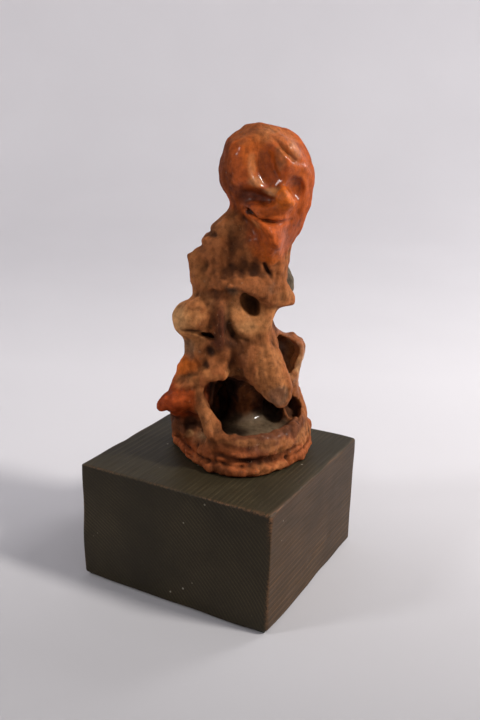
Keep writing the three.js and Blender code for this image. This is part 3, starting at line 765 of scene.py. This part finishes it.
# bulb, egg, cup
dabs("left_bulb", ((-14, -4, 1), (11, 18, 12), "straw", 0.75),
     ((4, -6, 12), (16, 14, 5), "bark", 0.6, 0.8), ((12, -8, -1), (9, 12, 11), "bark", 0.95, 1.0),
     # the near-black dab is painted shade in the slit, and the umber one after it painted shade along
     # the crack
     ((9, -14, -9.5), (7, 5, 2.6), "painted_hole_shade", 0.9, 0.3), ((-3, -13, -6), (8, 5, 1.2), "umber", 0.8, 0.3))
dabs("lower_egg", ((-4, -6, -1), (9, 12, 9), "grey", 0.5, 0.6))
dabs("centre_ridge", ((0, -3, -3), (4.5, 7, 16), "rust", 0.45, 0.9),
     ((0, -3, -4), (3, 7, 14), "umber", 0.5, 0.9), ((5.5, -1, 0), (3.5, 6, 13), "umber", 0.85, 0.6),
     ((9, -1, -12), (6, 6, 6), "umber", 0.7, 0.8), ((0, 0, 19), (8, 8, 5), "bark", 0.7, 0.7))
dabs("cup", ((-9, -14, 3), (8, 12, 12), "tan", 0.6), ((-2, -14, -9), (10, 8, 5), "straw", 0.3),
     # the umber dab is painted shade deep in the thumb hole
     ((2, -4, 6), (7, 9, 8), "umber", 0.9, 0.3), ((13, -12, 4), (5, 9, 12), "bark", 0.7))
# torso, knuckle, limb
dabs("lower_torso", ((0, -26, 2), (12, 10, 12), "umber", 0.5, 0.9),
     ((8, -26, -4), (9, 9, 12), "bark", 0.55, 0.9), ((-6, -28, -14), (16, 9, 5), "tan", 0.5, 0.7))
dabs("knuckle", ((5, -9, -1), (9, 9, 10), "bark", 0.7, 0.8),
     # the two near-black dabs are painted shade in the two pits
     ((-3.2, -12, 4), (4.2, 6, 3.8), "painted_hole_shade", 0.85, 0.3),
     ((-6.5, -11, -6), (2.8, 6, 3.0), "painted_hole_shade", 0.75, 0.3),
     ((-2, -10, -12), (12, 8, 4), "tan", 0.45, 0.8))
dabs("root_limb", ((0, -14, 4), (11, 12, 28), "tan", 0.55, 0.7),
     ((4, -18, -16), (9, 9, 8), "grey", 0.45, 0.8), ((3, -20, -14), (6, 7, 5), "rust", 0.35, 0.9),
     ((-9, -12, -14), (5, 9, 10), "bark", 0.4, 0.8))
# pouch, ear
dabs("shell_wall", ((10, -6, 6), (8, 10, 14), "grey", 0.3, 0.7),
     ((16, -6, -2), (5, 12, 18), "tan", 0.4, 0.6), ((2, -4, 22), (18, 10, 5), "bark", 0.8, 0.6),
     # the umber dab is painted shade inside the pouch, under its rim
     ((-6, 0, 15), (10, 9, 6), "umber", 0.6, 0.5), ((2, 4, 6), (10, 9, 10), "grey", 0.6, 0.8),
     ((10, -2, 0), (8, 12, 16), "straw", 0.9, 0.4), ((4, 14, 0), (20, 8, 26), "bark", 0.75, 0.8))
dabs("right_ear", ((2, -6, 8), (8, 10, 10), "bark", 0.6, 0.7),
     # the near-black dab is painted shade in the ear's opening
     ((-6, -6, 0), (8, 10, 13), "painted_hole_shade", 0.75, 0.5))
# left side
dabs("leaf", ((0, -4, -8), (14, 12, 4), "horn", 0.6, 0.7))
dabs("pinch_fold", ((0, -6, 0), (14, 8, 5), "tan", 0.6, 0.7))
dabs("horn_body", ((0, -8, 3), (12, 10, 9), "orange", 0.35),
     ((14, -8, 2), (6, 10, 10), "stain", 0.5, 0.7))
# the umber dab is painted shade in the opening cut through the side wall
dabs("side_wall", ((5, -9, -2), (7, 9, 7), "umber", 0.85, 0.6),
     ((0, -6, -14), (12, 12, 6), "foot", 0.8, 0.7), ((4, -9, -10), (4, 6, 2.5), "straw", 0.5, 0.8))
# band, hollow, dish, foot
dabs("left_pillar", ((-4, -4, 4), (10, 10, 20), "tan", 0.35, 0.7),
     ((6, -8, -16), (10, 8, 7), "stain", 0.4, 0.8))
dabs("basin_lip", ((-10, -24, 2), (18, 8, 5), "stain", 0.45, 0.8),
     ((-16, -24, 5), (12, 6, 2.5), "tan", 0.35, 0.8), ((6, -20, 4), (10, 7, 3), "tan", 0.25, 0.8),
     # the umber dab along the foot of the band is painted shadow under the lip's overhang
     ((-4, -30, -6), (26, 8, 3), "umber", 0.7, 0.6), ((14, -14, 1), (12, 12, 5), "orange", 0.35, 0.7))
# the near-black dabs are painted shade deep in the hollow, most on its left
dabs("inner_column", ((-12, -24, 2), (22, 20, 26), "painted_hole_shade", 0.85, 0.3),
     ((-28, -6, 0), (20, 24, 26), "painted_hole_shade", 0.96, 0.2), ((18, -6, -6), (14, 16, 16), "umber", 0.8, 0.4),
     ((-1, -13, -4), (7, 8, 18), "bark", 0.6, 0.9))
dabs("basin_floor", ((12, 0, 8), (28, 28, 9), "floor", 0.9, 0.4),
     # the umber dab is painted shade on the hollow's deep left side
     ((2, -14, 4), (22, 14, 7), "floor", 0.7, 0.4), ((-24, -6, 4), (12, 18, 7), "umber", 0.8, 0.5))
dabs("foot_coil", ((-10, -46, 0), (26, 10, 6), "rust", 0.35, 0.9),
     ((24, -34, 4), (16, 12, 6), "tan", 0.5, 0.8), ((44, -10, 3), (12, 16, 7), "tan", 0.45, 0.8))
dabs("foot_slab", ((-14, -46, 0), (14, 10, 4), "umber", 0.5, 1.0),
     ((20, -42, 0), (20, 10, 4), "tan", 0.35, 0.9), ((-40, -14, 4), (14, 22, 8), "horn", 0.35, 0.8))

# Glossy places: node, offset, reach, how much
WET = [("head", (3, -22, -1), (25, 18, 27), 0.95), ("neck", (2, -20, 2), (20, 14, 18), 0.7),
       ("basin_floor", (4, 0, 2), (40, 38, 12), 0.6), ("shell_wall", (4, -4, 0), (16, 12, 24), 0.9),
       ("basin_lip", (10, -18, 3), (22, 16, 6), 0.5), ("cup", (-4, -14, 0), (14, 12, 14), 0.35),
       ("root_limb", (4, -18, -16), (9, 9, 9), 0.4),
       ("inner_column", (2, -14, -18), (16, 14, 8), 0.8),
       ("horn_body", (-4, -8, 0), (18, 14, 12), 0.3), ("left_bulb", (-8, -8, 2), (16, 14, 12), 0.25)]


def painted(points):
    """Colour and gloss of the clay at places on its surface."""
    colour = np.zeros((len(points), 3), np.float32)
    weight = np.full(len(points), 1e-4, np.float32)
    for name in CLAY:
        low, values = distance[name]
        corner = grid_lo + low * VOXEL
        inside = np.all((points > corner) & (points < corner + (np.array(values.shape) - 1) * VOXEL), 1)
        if not inside.any():
            continue
        q = (points[inside] - corner) / VOXEL
        i = np.clip(q.astype(int), 0, np.array(values.shape) - 2)
        d = values[i[:, 0], i[:, 1], i[:, 2]]
        w = np.exp(-np.clip(d, 0, None) / MINGLE)
        colour[inside] += w[:, None] * np.array(TINT[LUMPS[name][0]], np.float32)
        weight[inside] += w
    colour /= weight[:, None]
    rough_edge = sample(breakup, points)
    smudge = sample(speckle, points)
    blotch = sample(patches, points)
    pressed = sample(relief, points)
    for at, reach, tint, strength, ragged in PAINT:
        q = (((points - at) / reach) ** 2).sum(1)
        near_it = q < 4
        # how far inside the dab, its edge broken up by the noises
        a = 1.25 - np.sqrt(q[near_it]) + ragged * (0.30 * rough_edge[near_it] + 0.22 * blotch[near_it]
                                                   + 0.30 * pressed[near_it]
                                                   + 0.34 * ragged * smudge[near_it])
        a = np.clip(a / (0.55 + 0.35 * (1 - ragged)), 0, 1)
        a = (a * a * (3 - 2 * a) * strength)[:, None]
        colour[near_it] = colour[near_it] * (1 - a) + tint * a
    gloss = np.full(len(points), BARE_GLOSS, np.float32)
    for name, offset, reach, amount in WET:
        q = (((points - near(name, *offset)) / np.array(reach)) ** 2).sum(1)
        gloss = np.maximum(gloss, amount * np.exp(-q ** 2 * 0.5))
    waxed = np.clip((gloss - 0.3) / 0.5, 0, 1)
    crease = sample(hollow, points)
    wide = sample(wide_hollow, points)
    # an umber stain wash left in pressed places, painted shade in the creases, bare clay rubbed through
    # on edges
    wash = np.clip(0.7 * pressed - 0.26 + 0.25 * rough_edge, 0, 0.8) * (1 - 0.85 * waxed)
    dark = np.clip(-crease * 0.55 - wide * 0.07, 0, 0.75) * (1 - 0.8 * waxed)
    worn = np.clip(crease * 0.5 - 0.3 * pressed, 0, 0.35) * (1 - 0.4 * waxed)
    # umber, the tint of the stain wash and also of the painted crease shade
    stain = np.array(TINT["umber"], np.float32)
    colour = colour * (1 - wash[:, None]) + (0.35 * colour + 0.4 * stain) * wash[:, None]
    colour = colour * (1 - dark[:, None]) + 0.22 * stain * dark[:, None]
    colour = colour + (0.55 * colour + 0.012) * worn[:, None]
    grain = np.clip(0.6 + 0.4 * blotch, 0, 1) * (1 - 0.7 * waxed)
    return np.clip(colour, 0, 1), np.stack([gloss, grain], 1)


def placed(name, data):
    """A new object of the given data, in the scene."""
    made = bpy.data.objects.new(name, data)
    bpy.context.scene.collection.objects.link(made)
    return made


def mesh_of(bm, name):
    mesh = bpy.data.meshes.new(name)
    bm.to_mesh(mesh)
    bm.free()
    return mesh


def give_attribute(mesh, name, values):
    """A colour on each vertex; channels that aren't given are 1."""
    four = np.ones((len(values), 4), np.float32)
    four[:, :values.shape[1]] = values
    layer = mesh.color_attributes.new(name, "FLOAT_COLOR", "POINT")
    layer.data.foreach_set("color", four.ravel())


def to_row(points):
    return points / 1000 @ TO_ROW.T + origin


# ---- Materials ----
def new_material(name):
    material = bpy.data.materials.new(name)
    material.use_nodes = True
    tree = material.node_tree
    tree.nodes.clear()
    shader = tree.nodes.new("ShaderNodeBsdfPrincipled")
    out = tree.nodes.new("ShaderNodeOutputMaterial")
    tree.links.new(shader.outputs[0], out.inputs[0])
    return material, shader, Net(tree)


class Net:
    """Short ways to add shader nodes."""

    def __init__(self, tree):
        self.tree = tree
        self.coords = self.node("TexCoord").outputs["Object"]

    def node(self, kind, **inputs):
        """A new node, with numbers set or sockets linked on its inputs."""
        node = self.tree.nodes.new("ShaderNode" + kind)
        for name, value in inputs.items():
            self.link(value, node.inputs[name])
        return node

    def link(self, value, socket):
        if isinstance(value, (int, float)):
            socket.default_value = value
        elif isinstance(value, tuple):
            socket.default_value = value if len(value) == len(socket.default_value) else (*value, 1)
        else:
            self.tree.links.new(value, socket)

    def stretch(self, scale):
        return self.node("Mapping", Scale=scale, Vector=self.coords).outputs[0]

    def noise(self, scale, detail=3, rough=0.55, vector=None, distort=0.0):
        return self.node("TexNoise", Scale=scale, Detail=detail, Roughness=rough, Distortion=distort,
                         Vector=vector or self.coords).outputs["Fac"]

    def cells(self, scale):
        return self.node("TexVoronoi", Scale=scale, Vector=self.coords).outputs["Distance"]

    def ramp(self, value, *stops):
        node = self.node("ValToRGB")
        stops = [(p, (c,) * 3 if isinstance(c, (int, float)) else c) for p, c in stops]
        while len(node.color_ramp.elements) < len(stops):
            node.color_ramp.elements.new(0.5)
        for element, (place, colour) in zip(node.color_ramp.elements, stops):
            element.position = place
            element.color = (*colour, 1)
        self.link(value, node.inputs[0])
        return node.outputs[0]

    def math(self, kind, a, b, clamp=False):
        node = self.node("Math")
        node.operation = kind
        node.use_clamp = clamp
        self.link(a, node.inputs[0])
        self.link(b, node.inputs[1])
        return node.outputs[0]

    def times(self, a, b):
        return self.math("MULTIPLY", a, b)

    def mix(self, fac, a, b, kind="MIX"):
        node = self.node("Mix")
        node.data_type = "RGBA"
        node.blend_type = kind
        for value, socket in zip((fac, a, b), (0, 6, 7)):
            self.link(value, node.inputs[socket])
        return node.outputs[2]

    def tinted(self, a, b):
        return self.mix(1.0, a, b, "MULTIPLY")

    def attribute(self, name):
        node = self.node("Attribute")
        node.attribute_name = name
        return node.outputs["Color"]

    def split(self, colour):
        return self.node("SeparateColor", Color=colour).outputs

    def bump(self, height, strength, distance, after=None):
        node = self.node("Bump", Strength=strength, Distance=distance, Height=height)
        if after:
            self.link(after, node.inputs["Normal"])
        return node.outputs[0]


def clay_material():
    material, shader, net = new_material("fired_clay")
    paint = net.attribute("paint")
    gloss, grain = net.split(net.attribute("surface"))[:2]
    mottle = net.ramp(net.noise(260, 4, 0.6), (0.25, 0.52), (0.5, 1.0), (0.78, 1.40))
    base = net.tinted(paint, mottle)
    smear = net.ramp(net.noise(90, 5, 0.7, net.stretch((1, 1, 0.35)), 0.6), (0.36, 0.0), (0.62, 1.0))
    base = net.mix(net.times(smear, net.times(grain, 0.62)), base, net.tinted(base, (0.36, 0.30, 0.27)))
    speck = net.ramp(net.cells(620), (0.10, 1.0), (0.20, 0.0))
    base = net.mix(net.times(speck, net.times(grain, 0.85)), base, (0.035, 0.018, 0.010))
    chalk = net.ramp(net.noise(420, 2, 0.5), (0.66, 0.0), (0.74, 1.0))
    base = net.mix(net.times(chalk, net.times(grain, 0.22)), base, (0.55, 0.36, 0.22))
    net.link(base, shader.inputs["Base Color"])
    rough = net.math("SUBTRACT", 0.86, net.times(gloss, 0.52))
    vary = net.times(net.math("SUBTRACT", net.noise(150, 3), 0.5), 0.30)
    net.link(net.math("ADD", rough, vary, True), shader.inputs["Roughness"])
    shader.inputs["Specular IOR Level"].default_value = 0.12
    shader.inputs["Coat Roughness"].default_value = 0.12
    net.link(net.times(net.math("SUBTRACT", gloss, 0.25, True), 0.5), shader.inputs["Coat Weight"])
    tooth = net.bump(net.noise(900, 3, 0.6), 0.35, 0.0006)
    tooth = net.bump(net.noise(300, 5, 0.7, net.stretch((1, 1, 0.45)), 0.4), 0.55, 0.0014, tooth)
    net.link(tooth, shader.inputs["Normal"])
    return material


def wood_material():
    """Stained softwood: growth rings about a pith that runs along Y, outside the block."""
    material, shader, net = new_material("stained_softwood")
    drift = net.node("TexNoise", Scale=9, Detail=2, Vector=net.stretch((1, 0.16, 1)))
    shift = net.node("VectorMath")
    shift.operation = "MULTIPLY_ADD"            # the place, plus a little drift
    net.link(drift.outputs["Color"], shift.inputs[0])
    net.link((0.010, 0.010, 0.010), shift.inputs[1])
    net.link(net.coords, shift.inputs[2])
    parts = net.node("SeparateXYZ", Vector=shift.outputs[0])
    pith_x, pith_z = -0.19, -0.16               # metres, below and left of the block
    rings = 390.0                               # a metre
    across = net.math("POWER", net.math("SUBTRACT", parts.outputs["X"], pith_x), 2.0)
    upward = net.math("POWER", net.math("SUBTRACT", parts.outputs["Z"], pith_z), 2.0)
    from_pith = net.math("SQRT", net.math("ADD", across, upward), 0)
    year = net.math("FRACT", net.times(from_pith, rings), 0)
    late = net.ramp(year, (0.0, 0.15), (0.45, 0.35), (0.75, 1.0), (1.0, 0.15))
    faint = net.ramp(net.noise(14, 3, 0.6), (0.35, 0.25), (0.65, 1.0))
    late = net.times(late, faint)
    fibre = net.noise(1400, 3, 0.6, net.stretch((1, 0.025, 1)))
    pores = net.noise(700, 4, 0.7, net.stretch((1, 0.06, 1)))
    tone = net.ramp(net.math("ADD", net.times(late, 0.58), net.times(fibre, 0.62), True),
                    (0.12, (0.0145, 0.0105, 0.0044)), (0.50, (0.0260, 0.0190, 0.0084)),
                    (0.88, (0.0480, 0.0345, 0.0155)))
    cloud = net.ramp(net.noise(22, 4, 0.6), (0.30, 0.82), (0.70, 1.22))
    base = net.tinted(tone, cloud)
    edge_wear, side_face, top_face = net.split(net.attribute("edge_wear_and_face_light"))[:3]
    streak = net.ramp(fibre, (0.3, 0.55), (0.7, 1.0))
    # the side faces and the top are made lighter than the end grain: partly the real lighter side
    # grain, partly painted light
    for face, grain_and_face_light in ((side_face, (2.25, 1.58, 1.46)), (top_face, (1.38, 1.45, 1.55))):
        base = net.mix(net.times(face, streak), base, net.tinted(base, grain_and_face_light))
    rub = net.times(edge_wear, net.ramp(pores, (0.42, 0.0), (0.58, 1.0)))
    base = net.mix(rub, base, (0.16, 0.075, 0.035))
    fleck = net.times(net.ramp(net.cells(110), (0.06, 1.0), (0.10, 0.0)),
                      net.ramp(net.noise(40, 1), (0.56, 0.0), (0.62, 1.0)))
    base = net.mix(net.times(fleck, 0.7), base, (0.34, 0.30, 0.23))
    net.link(base, shader.inputs["Base Color"])
    rough = net.math("ADD", 0.42, net.times(pores, 0.28))
    net.link(rough, shader.inputs["Roughness"])
    shader.inputs["Specular IOR Level"].default_value = 0.22
    relief = net.bump(late, 0.10, 0.0004)
    relief = net.bump(fibre, 0.25, 0.0004, relief)
    net.link(relief, shader.inputs["Normal"])
    return material


def plain_material(name, low, high, scale, rough, metal=0.0, bump=0.1):
    material, shader, net = new_material(name)
    grain = net.noise(scale, 4, 0.6)
    net.link(net.ramp(grain, (0.3, low), (0.7, high)), shader.inputs["Base Color"])
    spread = net.times(net.noise(scale * 0.4, 3), 0.2)
    net.link(net.math("ADD", rough - 0.1, spread, True), shader.inputs["Roughness"])
    shader.inputs["Metallic"].default_value = metal
    net.link(net.bump(grain, bump, 0.0005), shader.inputs["Normal"])
    return material


clay_look = clay_material()
wood_look = wood_material()


# ---- Clay pieces ----
def build_piece(name, members):
    low, d = own[name]
    high = low + np.array(d.shape)
    w = tuple(slice(a, b) for a, b in zip(low, high))
    rival = np.where(d <= first[w] + 1e-6, second[w], first[w])
    ahead = (d - rival) / 2                         # below 0 where this piece is the nearest
    f = clay[w] + 0.5 * np.clip(ahead, 0, None)     # sinks below its neighbour past the seam
    f = np.maximum(f, ahead - SEAM)
    f = np.maximum(f, d - 0.9 * BAND)
    pad = np.pad(f, 1, constant_values=BAND)
    grid = vdb.FloatGrid(BAND)
    grid.copyFromArray(pad.astype(np.float32))
    points, quads = grid.convertToQuads(isovalue=0.0)
    points, quads = largest_shells(points, quads.astype(np.int64))
    local = points * VOXEL + grid_lo + (low - 1) * VOXEL
    mesh = bpy.data.meshes.new(name)
    mesh.from_pydata(to_row(local).tolist(), [], quads[:, ::-1].tolist())
    mesh.validate()
    mesh.update()
    local = local[:len(mesh.vertices)]
    colour, surface = painted(local)
    give_attribute(mesh, "paint", colour)
    give_attribute(mesh, "surface", surface)
    mesh.shade_smooth()
    mesh.materials.append(clay_look)
    piece = placed(name, mesh)
    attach(piece, "root")
    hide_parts(*members)


for name, (members, slot) in PIECES.items():
    build_piece(name, members)


# ---- Wood block: eased, worn and nicked edges ----
def build_block():
    lo, hi = np.array(block_lo), np.array(block_hi)
    middle, half = (lo + hi) / 2, (hi - lo) / 2
    bm = bmesh.new()
    bmesh.ops.create_cube(bm, size=2.0)
    bmesh.ops.subdivide_edges(bm, edges=bm.edges, cuts=47, use_grid_fill=True)
    co = np.array([v.co for v in bm.verts])
    co = np.sign(co) * (1 - (1 - np.abs(co)) ** 1.6)        # crowd the grid towards the edges
    p = co * half
    r = np.random.default_rng(5)
    waves = [(r.uniform(20, 160, 3), r.uniform(0, 6.28)) for _ in range(10)]
    ripple = sum(np.sin(p @ k + ph) for k, ph in waves) / 5
    eased, waver = 0.0013, 0.0004           # metres: the edges' radius, and how it wanders
    radius = eased + waver * ripple
    chips = ((1, -1, 1, 0.0016, 0.010), (1, 0.55, 1, 0.0022, 0.004), (-1, -1, -1, 0.0010, 0.008),
             (1, -1, -1, 0.0024, 0.012), (-1, -0.3, 1, 0.0008, 0.006), (0.2, -1, 1, 0.0007, 0.005),
             (1, 1, 1, 0.0012, 0.008), (-0.5, 1, 1, 0.001, 0.008))
    for x, y, z, deep, reach in chips:
        at = np.array([x, y, z]) * half
        radius = radius + deep * np.exp(-((p - at) ** 2).sum(1) / reach ** 2)
    inner = half - radius[:, None]
    core = np.clip(p, -inner, inner)
    away = p - core
    length = np.linalg.norm(away, axis=1, keepdims=True)
    rounded = np.where(length > 1e-9, core + away / np.maximum(length, 1e-9) * radius[:, None], p)
    sanded = 0.00012 * (1 + np.clip(ripple, -1, 1))[:, None]      # metres inside the CAD faces
    rounded = rounded * (1 - sanded / half)
    # a nick and a small dent in the right-hand face
    for y, z, deep, reach in ((-0.02, -0.25, 0.0009, 0.0022), (0.18, -0.22, 0.0007, 0.0018)):
        at = np.array([half[0], y * half[1] * 2, z * half[2] * 2])
        rounded[:, 0] -= deep * np.exp(-((rounded - at) ** 2).sum(1) / reach ** 2)
    for v, c in zip(bm.verts, rounded + middle):
        v.co = c
    bm.verts.index_update()
    mesh = mesh_of(bm, "wood_block")
    edge = np.sort(np.abs(p) / half, axis=1)[:, 1]
    edge_wear = np.clip((edge - 0.975) / 0.02, 0, 1) * np.clip(0.4 + 0.5 * ripple, 0, 1)
    corner = np.array([1, -1, 1]) * half
    by_corner = np.exp(-((p - corner) ** 2).sum(1) / 0.018 ** 2)
    edge_wear += 0.9 * by_corner * np.clip((edge - 0.95) / 0.04, 0, 1)
    on_y, on_z = (np.clip((np.abs(p[:, a]) / half[a] - 0.999) * 1e6, 0, 1) for a in (1, 2))
    # first channel: edge wear; the other two mark the side faces and the top, which the wood material
    # paints lighter, partly as painted light
    give_attribute(mesh, "edge_wear_and_face_light", np.stack([np.clip(edge_wear, 0, 1), (1 - on_y) * (1 - on_z),
                                           on_z * (1 - on_y)], 1))
    mesh.shade_smooth()
    mesh.materials.append(wood_look)
    piece = placed("wood_block", mesh)
    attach(piece, "root")
    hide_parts("plinth_block")


build_block()


# ---- Felt under the block: a hand-cut square with a slightly ragged edge ----
def build_felt():
    lo, hi = (np.array(v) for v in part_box("base_felt"))
    middle, half = (lo + hi) / 2, (hi - lo) / 2
    bm = bmesh.new()
    bmesh.ops.create_cube(bm, size=2.0)
    level = [e for e in bm.edges if abs(e.verts[0].co.z - e.verts[1].co.z) < 1]
    bmesh.ops.subdivide_edges(bm, edges=level, cuts=63, use_grid_fill=True)
    p = np.array([v.co for v in bm.verts]) * half
    r = np.random.default_rng(9)
    wave = sum(np.sin(p @ r.uniform(-700, 700, 3) + r.uniform(0, 6.28)) for _ in range(12)) / 6
    wave = np.clip(wave, -1, 1)
    ragged, thinned = 0.0025, 0.00006       # a share of its width, and metres; both only inwards
    p[:, :2] *= 1 - ragged * (1 + wave[:, None])
    p[:, 2] += np.where(p[:, 2] < 0, thinned * (1 + wave), 0)
    for v, c in zip(bm.verts, p + middle):
        v.co = c
    mesh = mesh_of(bm, "felt_sheet")
    mesh.materials.append(plain_material("green_baize", (0.012, 0.022, 0.012), (0.03, 0.05, 0.03),
                                         2500, 0.95, bump=0.5))
    piece = placed("felt_sheet", mesh)
    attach(piece, "root")
    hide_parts("base_felt")


build_felt()

# ---- CAD nodes that stay: better finishes ----
steel = plain_material("zinc_steel", (0.36, 0.36, 0.37), (0.55, 0.55, 0.56), 900, 0.38, metal=1.0)
plaster = plain_material("plaster", (0.62, 0.59, 0.52), (0.78, 0.75, 0.68), 600, 0.9, bump=0.3)
for name, look in (("mounting_stud", steel), ("stud_washer", steel), ("stud_nut", steel),
                   ("anchor_plug", plaster)):
    mesh = nodes[name].data
    mesh.materials.clear()
    mesh.materials.append(look)

# ---- Camera at the photograph's viewing angle, solved from the block's edges ----
CAMERA_AT = (0.28040, -0.52090, 0.35127)    # above the CAD model's lowest point
TURN, DOWN, TIP = (math.radians(v) for v in (27.43, 17.86, 1.85))
forward = Vector((-math.sin(TURN) * math.cos(DOWN), math.cos(TURN) * math.cos(DOWN), -math.sin(DOWN)))
right = Vector((math.cos(TURN), math.sin(TURN), 0))
up = right.cross(forward)
right_tipped = right * math.cos(TIP) + up * math.sin(TIP)
up_tipped = up * math.cos(TIP) - right * math.sin(TIP)
camera_data = bpy.data.cameras.new("camera")
camera_data.lens = 42.63
camera_data.sensor_width = 36
camera_data.clip_start = 0.05
camera = placed("camera", camera_data)
camera.matrix_world = Matrix.Translation(Vector(CAMERA_AT) + Vector((0, 0, block_lo.z))) \
    @ Matrix((right_tipped, up_tipped, -forward)).transposed().to_4x4()
bpy.context.scene.camera = camera


# ---- Pale round sweep: floor and wall in one sheet ----
def build_sweep():
    profile = [(0.35, 0.0), (0.8, 0.0), (1.15, 0.0), (1.45, 0.02), (1.72, 0.10),
               (1.92, 0.26), (2.04, 0.50), (2.10, 0.9), (2.12, 1.6), (2.12, 2.4)]
    turns = 96
    angles = [2 * math.pi * k / turns for k in range(turns)]
    bm = bmesh.new()
    rings = [[bm.verts.new((radius * math.cos(a), radius * math.sin(a), z)) for a in angles]
             for radius, z in profile]
    hub = bm.verts.new((0, 0, 0))
    for k in range(turns):
        bm.faces.new((hub, rings[0][k], rings[0][(k + 1) % turns]))
        for inner, outer in zip(rings[:-1], rings[1:]):
            bm.faces.new((inner[k], outer[k], outer[(k + 1) % turns], inner[(k + 1) % turns]))
    mesh = mesh_of(bm, "sweep")
    mesh.shade_smooth()
    material, shader, net = new_material("paper_sweep")
    paper = net.ramp(net.noise(3, 2), (0.3, (0.735, 0.715, 0.735)), (0.7, (0.76, 0.74, 0.76)))
    place = net.node("SeparateXYZ", Vector=net.coords)
    away = net.math("SUBTRACT", net.times(place.outputs["Y"], 0.887),
                    net.times(place.outputs["X"], 0.46))        # metres towards the wall behind
    # painted shade: the paper darkens towards the front, away from the wall
    shade = net.ramp(net.math("ADD", away, 0.4),
                     (0.20, 0.56), (0.34, 0.72), (0.49, 0.88), (0.85, 1.0))
    net.link(net.tinted(paper, shade), shader.inputs["Base Color"])
    shader.inputs["Roughness"].default_value = 0.85
    shader.inputs["Specular IOR Level"].default_value = 0.2
    mesh.materials.append(material)
    sweep = placed("sweep", mesh)


build_sweep()


# ---- Soft studio light ----
LIT = Vector((0, 0, 0.15))                  # what the area lights are aimed at


def lamp(name, azimuth, elevation, reach, size, power, tint):
    """A round area light; azimuth in degrees from +X, turning towards +Y."""
    a, e = math.radians(azimuth), math.radians(elevation)
    data = bpy.data.lights.new(name, "AREA")
    data.shape = "DISK"
    data.size = size
    data.energy = power
    data.color = tint
    light = placed(name, data)
    to = Vector((math.cos(a) * math.cos(e), math.sin(a) * math.cos(e), math.sin(e)))
    light.location = LIT + to * reach
    light.rotation_mode = "QUATERNION"
    light.rotation_quaternion = to.to_track_quat("Z", "Y")


lamp("key", 6, 42, 1.70, 0.28, 23, (1.0, 0.97, 0.93))
lamp("left_fill", -128, 31, 1.60, 0.30, 6.8, (0.98, 0.98, 1.0))
glow = bpy.data.lights.new("wall_glow", "POINT")         # brightens the sweep behind
glow.energy = 28
glow.shadow_soft_size = 0.25
placed("wall_glow", glow).location = (0.80, 1.30, 1.2)
world = bpy.data.worlds.new("studio")
bpy.context.scene.world = world
world.use_nodes = True
background = world.node_tree.nodes["Background"]
background.inputs["Color"].default_value = (0.93, 0.94, 1.0, 1)
background.inputs["Strength"].default_value = 0.365
bpy.context.scene.view_settings.view_transform = "Standard"
